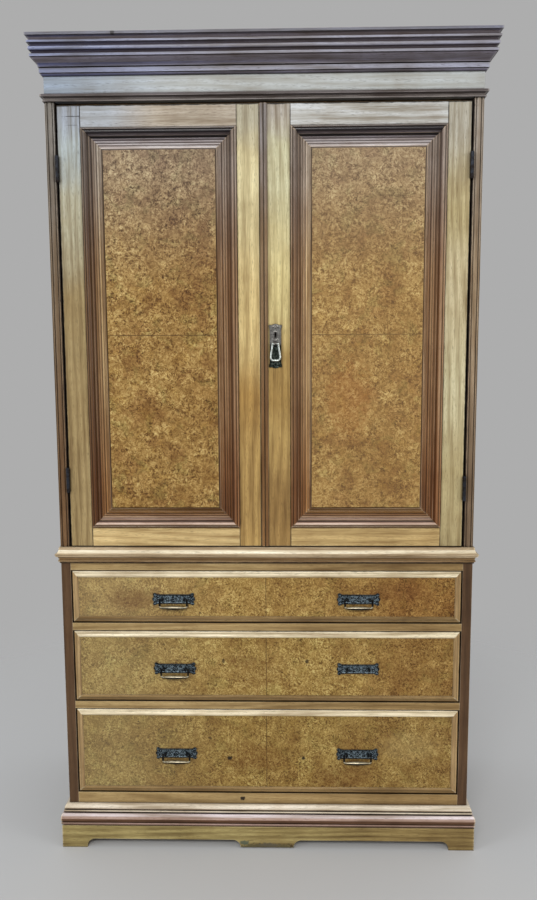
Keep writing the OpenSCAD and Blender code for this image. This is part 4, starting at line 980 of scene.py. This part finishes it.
def emboss_handles(material):
    for n in DRAWERS:
        low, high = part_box(f"drawer_{n}_handle_plates")
        face_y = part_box(f"drawer_{n}_front")[0].y - PLATE_T
        for side, x in (("left", low.x + PLATE_W / 2), ("right", high.x - PLATE_W / 2)):
            skin(f"drawer_{n}_{side}_plate_embossing", (PLATE_W - 7 * MM, 30 * MM),
                 plate_reach, plate_height, (x, face_y, (low.z + high.z) / 2), f"drawer_{n}", material)


def emboss_escutcheon(material):
    low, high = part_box("escutcheon_plate")
    width, tall = high.x - low.x, high.z - low.z
    middle = Vector(((low.x + high.x) / 2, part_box("right_door_stiles")[0].y - PLATE_T,
                     (low.z + high.z) / 2))
    pivot = PIVOT_Z - middle.z
    keyhole = KEYHOLE[1] - middle.z

    def reach(x):
        return tall / 2 - 1.2 * MM - 2.6 * MM * hump(abs(x), width * 0.32, width * 0.16)

    def height(x, z):
        near_key = math.hypot(x, z - keyhole)
        near_foot = math.hypot(x, z - keyhole + 7 * MM)
        in_slot = abs(x) < 2 * MM and -7 < (z - keyhole) / MM < 0
        if near_key < 3.6 * MM or near_foot < 2.6 * MM or in_slot:
            return None
        if abs(x) < 4.6 * MM and abs(z - pivot) < 5.4 * MM:
            return None
        half = 0.42 * width if abs(z) < tall / 2 - 14 * MM else 0.46 * width
        if abs(x) > half:
            return None
        rim = hump(abs(x), half - 1.6 * MM, 1.5 * MM)
        ring = max(hump(near_key, 5.4 * MM, 1.6 * MM), 0.8 * hump(near_foot, 4.2 * MM, 1.5 * MM))
        hood = hump(z, pivot + 7.5 * MM + abs(x) * 0.5, 1.8 * MM) if abs(x) < 8 * MM else 0.0
        from_end = tall / 2 - abs(z)
        ribs = 0.5 + 0.5 * math.cos(7 * math.atan2(x, from_end - 3 * MM))
        leaf = ribs * hump(math.hypot(x, from_end - 3 * MM), 7 * MM, 6 * MM)
        return 1.1 * MM * min(1.0, max(0.7 * rim, ring, hood, 0.9 * leaf))

    skin("escutcheon_embossing", (0.94 * width, tall - 2 * MM), reach, height, middle,
         "door_right", material)


# Setting: a pale floor that fades into the grey of the background, soft lamps, and the camera

BACKDROP = srgb(173, 173, 173)
# The sky brightens from one height of the light's direction to another, between two strengths
SKY_RISE = (-0.6, 0.8)
SKY_STRENGTH = (0.03, 0.80)


def make_floor():
    t = Tree("floor_grey")
    x, y, _ = t.split(t.place())
    far = t.math("SQRT", t.math("ADD", t.math("MULTIPLY", x, x), t.math("MULTIPLY", y, y)))
    haze = t.ease(far, 0.9, 2.2)
    t.surface(srgb(184, 184, 184), 0.9)
    clear = t.add("BsdfTransparent")
    blend = t.add("MixShader", [(0, haze), (1, t.bsdf.outputs[0]), (2, clear.outputs[0])])
    output = t.nodes["Material Output"]
    t.links.new(blend.outputs[0], output.inputs["Surface"])
    bpy.ops.mesh.primitive_plane_add(size=8, location=(0, 0, CAD_BOX[0][2]))
    floor = bpy.context.object
    floor.name = "floor"
    floor.data.materials.append(t.material)


def make_world():
    """The backdrop's grey for what the camera and reflections see, and for the light on the
    object a soft sky that is brighter overhead than below."""
    world = bpy.data.worlds.new("studio")
    bpy.context.scene.world = world
    world.use_nodes = True
    nodes, links = world.node_tree.nodes, world.node_tree.links
    nodes.clear()
    seen = nodes.new("ShaderNodeBackground")
    seen.inputs[0].default_value = BACKDROP
    glow = nodes.new("ShaderNodeBackground")
    glow.inputs[0].default_value = (0.95, 0.975, 1.0, 1.0)
    way = nodes.new("ShaderNodeTexCoord")
    parts = nodes.new("ShaderNodeSeparateXYZ")
    level = nodes.new("ShaderNodeMapRange")
    for i, value in enumerate((*SKY_RISE, *SKY_STRENGTH), 1):
        level.inputs[i].default_value = value
    links.new(way.outputs["Generated"], parts.inputs[0])
    links.new(parts.outputs[2], level.inputs[0])
    links.new(level.outputs[0], glow.inputs[1])
    path = nodes.new("ShaderNodeLightPath")
    straight = nodes.new("ShaderNodeMath")
    straight.operation = "MAXIMUM"
    straight_or_clear = nodes.new("ShaderNodeMath")
    straight_or_clear.operation = "MAXIMUM"
    links.new(path.outputs["Is Camera Ray"], straight.inputs[0])
    links.new(path.outputs["Is Glossy Ray"], straight.inputs[1])
    links.new(straight.outputs[0], straight_or_clear.inputs[0])
    links.new(path.outputs["Is Transmission Ray"], straight_or_clear.inputs[1])
    mix = nodes.new("ShaderNodeMixShader")
    output = nodes.new("ShaderNodeOutputWorld")
    links.new(straight_or_clear.outputs[0], mix.inputs[0])
    links.new(glow.outputs[0], mix.inputs[1])
    links.new(seen.outputs[0], mix.inputs[2])
    links.new(mix.outputs[0], output.inputs["Surface"])


def add_lamp(name, at, toward, size, power, colour=(1.0, 1.0, 1.0), mirrored=True):
    light = bpy.data.lights.new(name, "AREA")
    light.shape = "RECTANGLE"
    light.size, light.size_y = size
    light.energy = power
    light.color = colour
    lamp = bpy.data.objects.new(name, light)
    bpy.context.scene.collection.objects.link(lamp)
    lamp.location = at
    lamp.rotation_euler = (Vector(toward) - Vector(at)).to_track_quat("-Z", "Y").to_euler()
    lamp.visible_glossy = mirrored


def make_lamps():
    add_lamp("softbox", (-0.8, -8.5, 6.6), (0.0, 0.0, 1.0), (5.0, 1.6), 470, (1.0, 0.99, 0.97))
    add_lamp("left_window", (-4.0, -3.0, 2.2), (0.0, 0.0, 1.0), (1.6, 2.0), 48, (0.92, 0.96, 1.0))
    add_lamp("right_fill", (4.0, -2.4, 1.8), (0.0, 0.0, 1.0), (1.6, 2.0), 38, (1.0, 0.97, 0.93))
    add_lamp("low_fill", (0.1, -3.2, 0.3), (0.0, 0.0, 0.5), (2.4, 0.6), 13, mirrored=False)


# The camera stands where the photograph's straight edges put it
CAMERA_AT = (0.0628, -2.417, 1.3675)
YAW, PITCH, ROLL = (math.radians(a) for a in (-1.418, 7.253, -0.295))
FOCAL_PX, PICTURE_H_PX = 850.0, 900.0
SENSOR_H = 24.0


def make_camera():
    data = bpy.data.cameras.new("camera")
    data.sensor_fit = "VERTICAL"
    data.sensor_height = SENSOR_H
    data.lens = SENSOR_H * FOCAL_PX / PICTURE_H_PX
    data.clip_end = 60
    ahead = Vector((math.sin(YAW) * math.cos(PITCH), math.cos(YAW) * math.cos(PITCH),
                    -math.sin(PITCH)))
    right = Vector((math.cos(YAW), -math.sin(YAW), 0))
    up = right.cross(ahead)
    tilted_right = math.cos(ROLL) * right + math.sin(ROLL) * up
    tilted_up = math.cos(ROLL) * up - math.sin(ROLL) * right
    camera = bpy.data.objects.new("camera", data)
    bpy.context.scene.collection.objects.link(camera)
    turn = Matrix((tilted_right, tilted_up, -ahead)).transposed()
    camera.matrix_world = Matrix.Translation(CAMERA_AT) @ turn.to_4x4()
    bpy.context.scene.camera = camera


paint_carcass()
for side, box in DOORS.items():
    paint_door(side, box)
dress(wood("meeting_bead_wood", lambda t, tone: by_height(t, tone, MEETING_BEAD), grain_straight,
           "z", quirk_shade_and_grime=0.95, wear_and_highlight=0.6, reach=3 * MM, crest=(186, 160, 126)), "meeting_bead")
for number in DRAWERS:
    paint_drawer(number)
dark_bronze, pewter_bronze = paint_metal()
emboss_handles(dark_bronze)
emboss_escutcheon(pewter_bronze)
make_floor()
make_world()
make_lamps()
make_camera()
bpy.context.scene.view_settings.view_transform = "Standard"
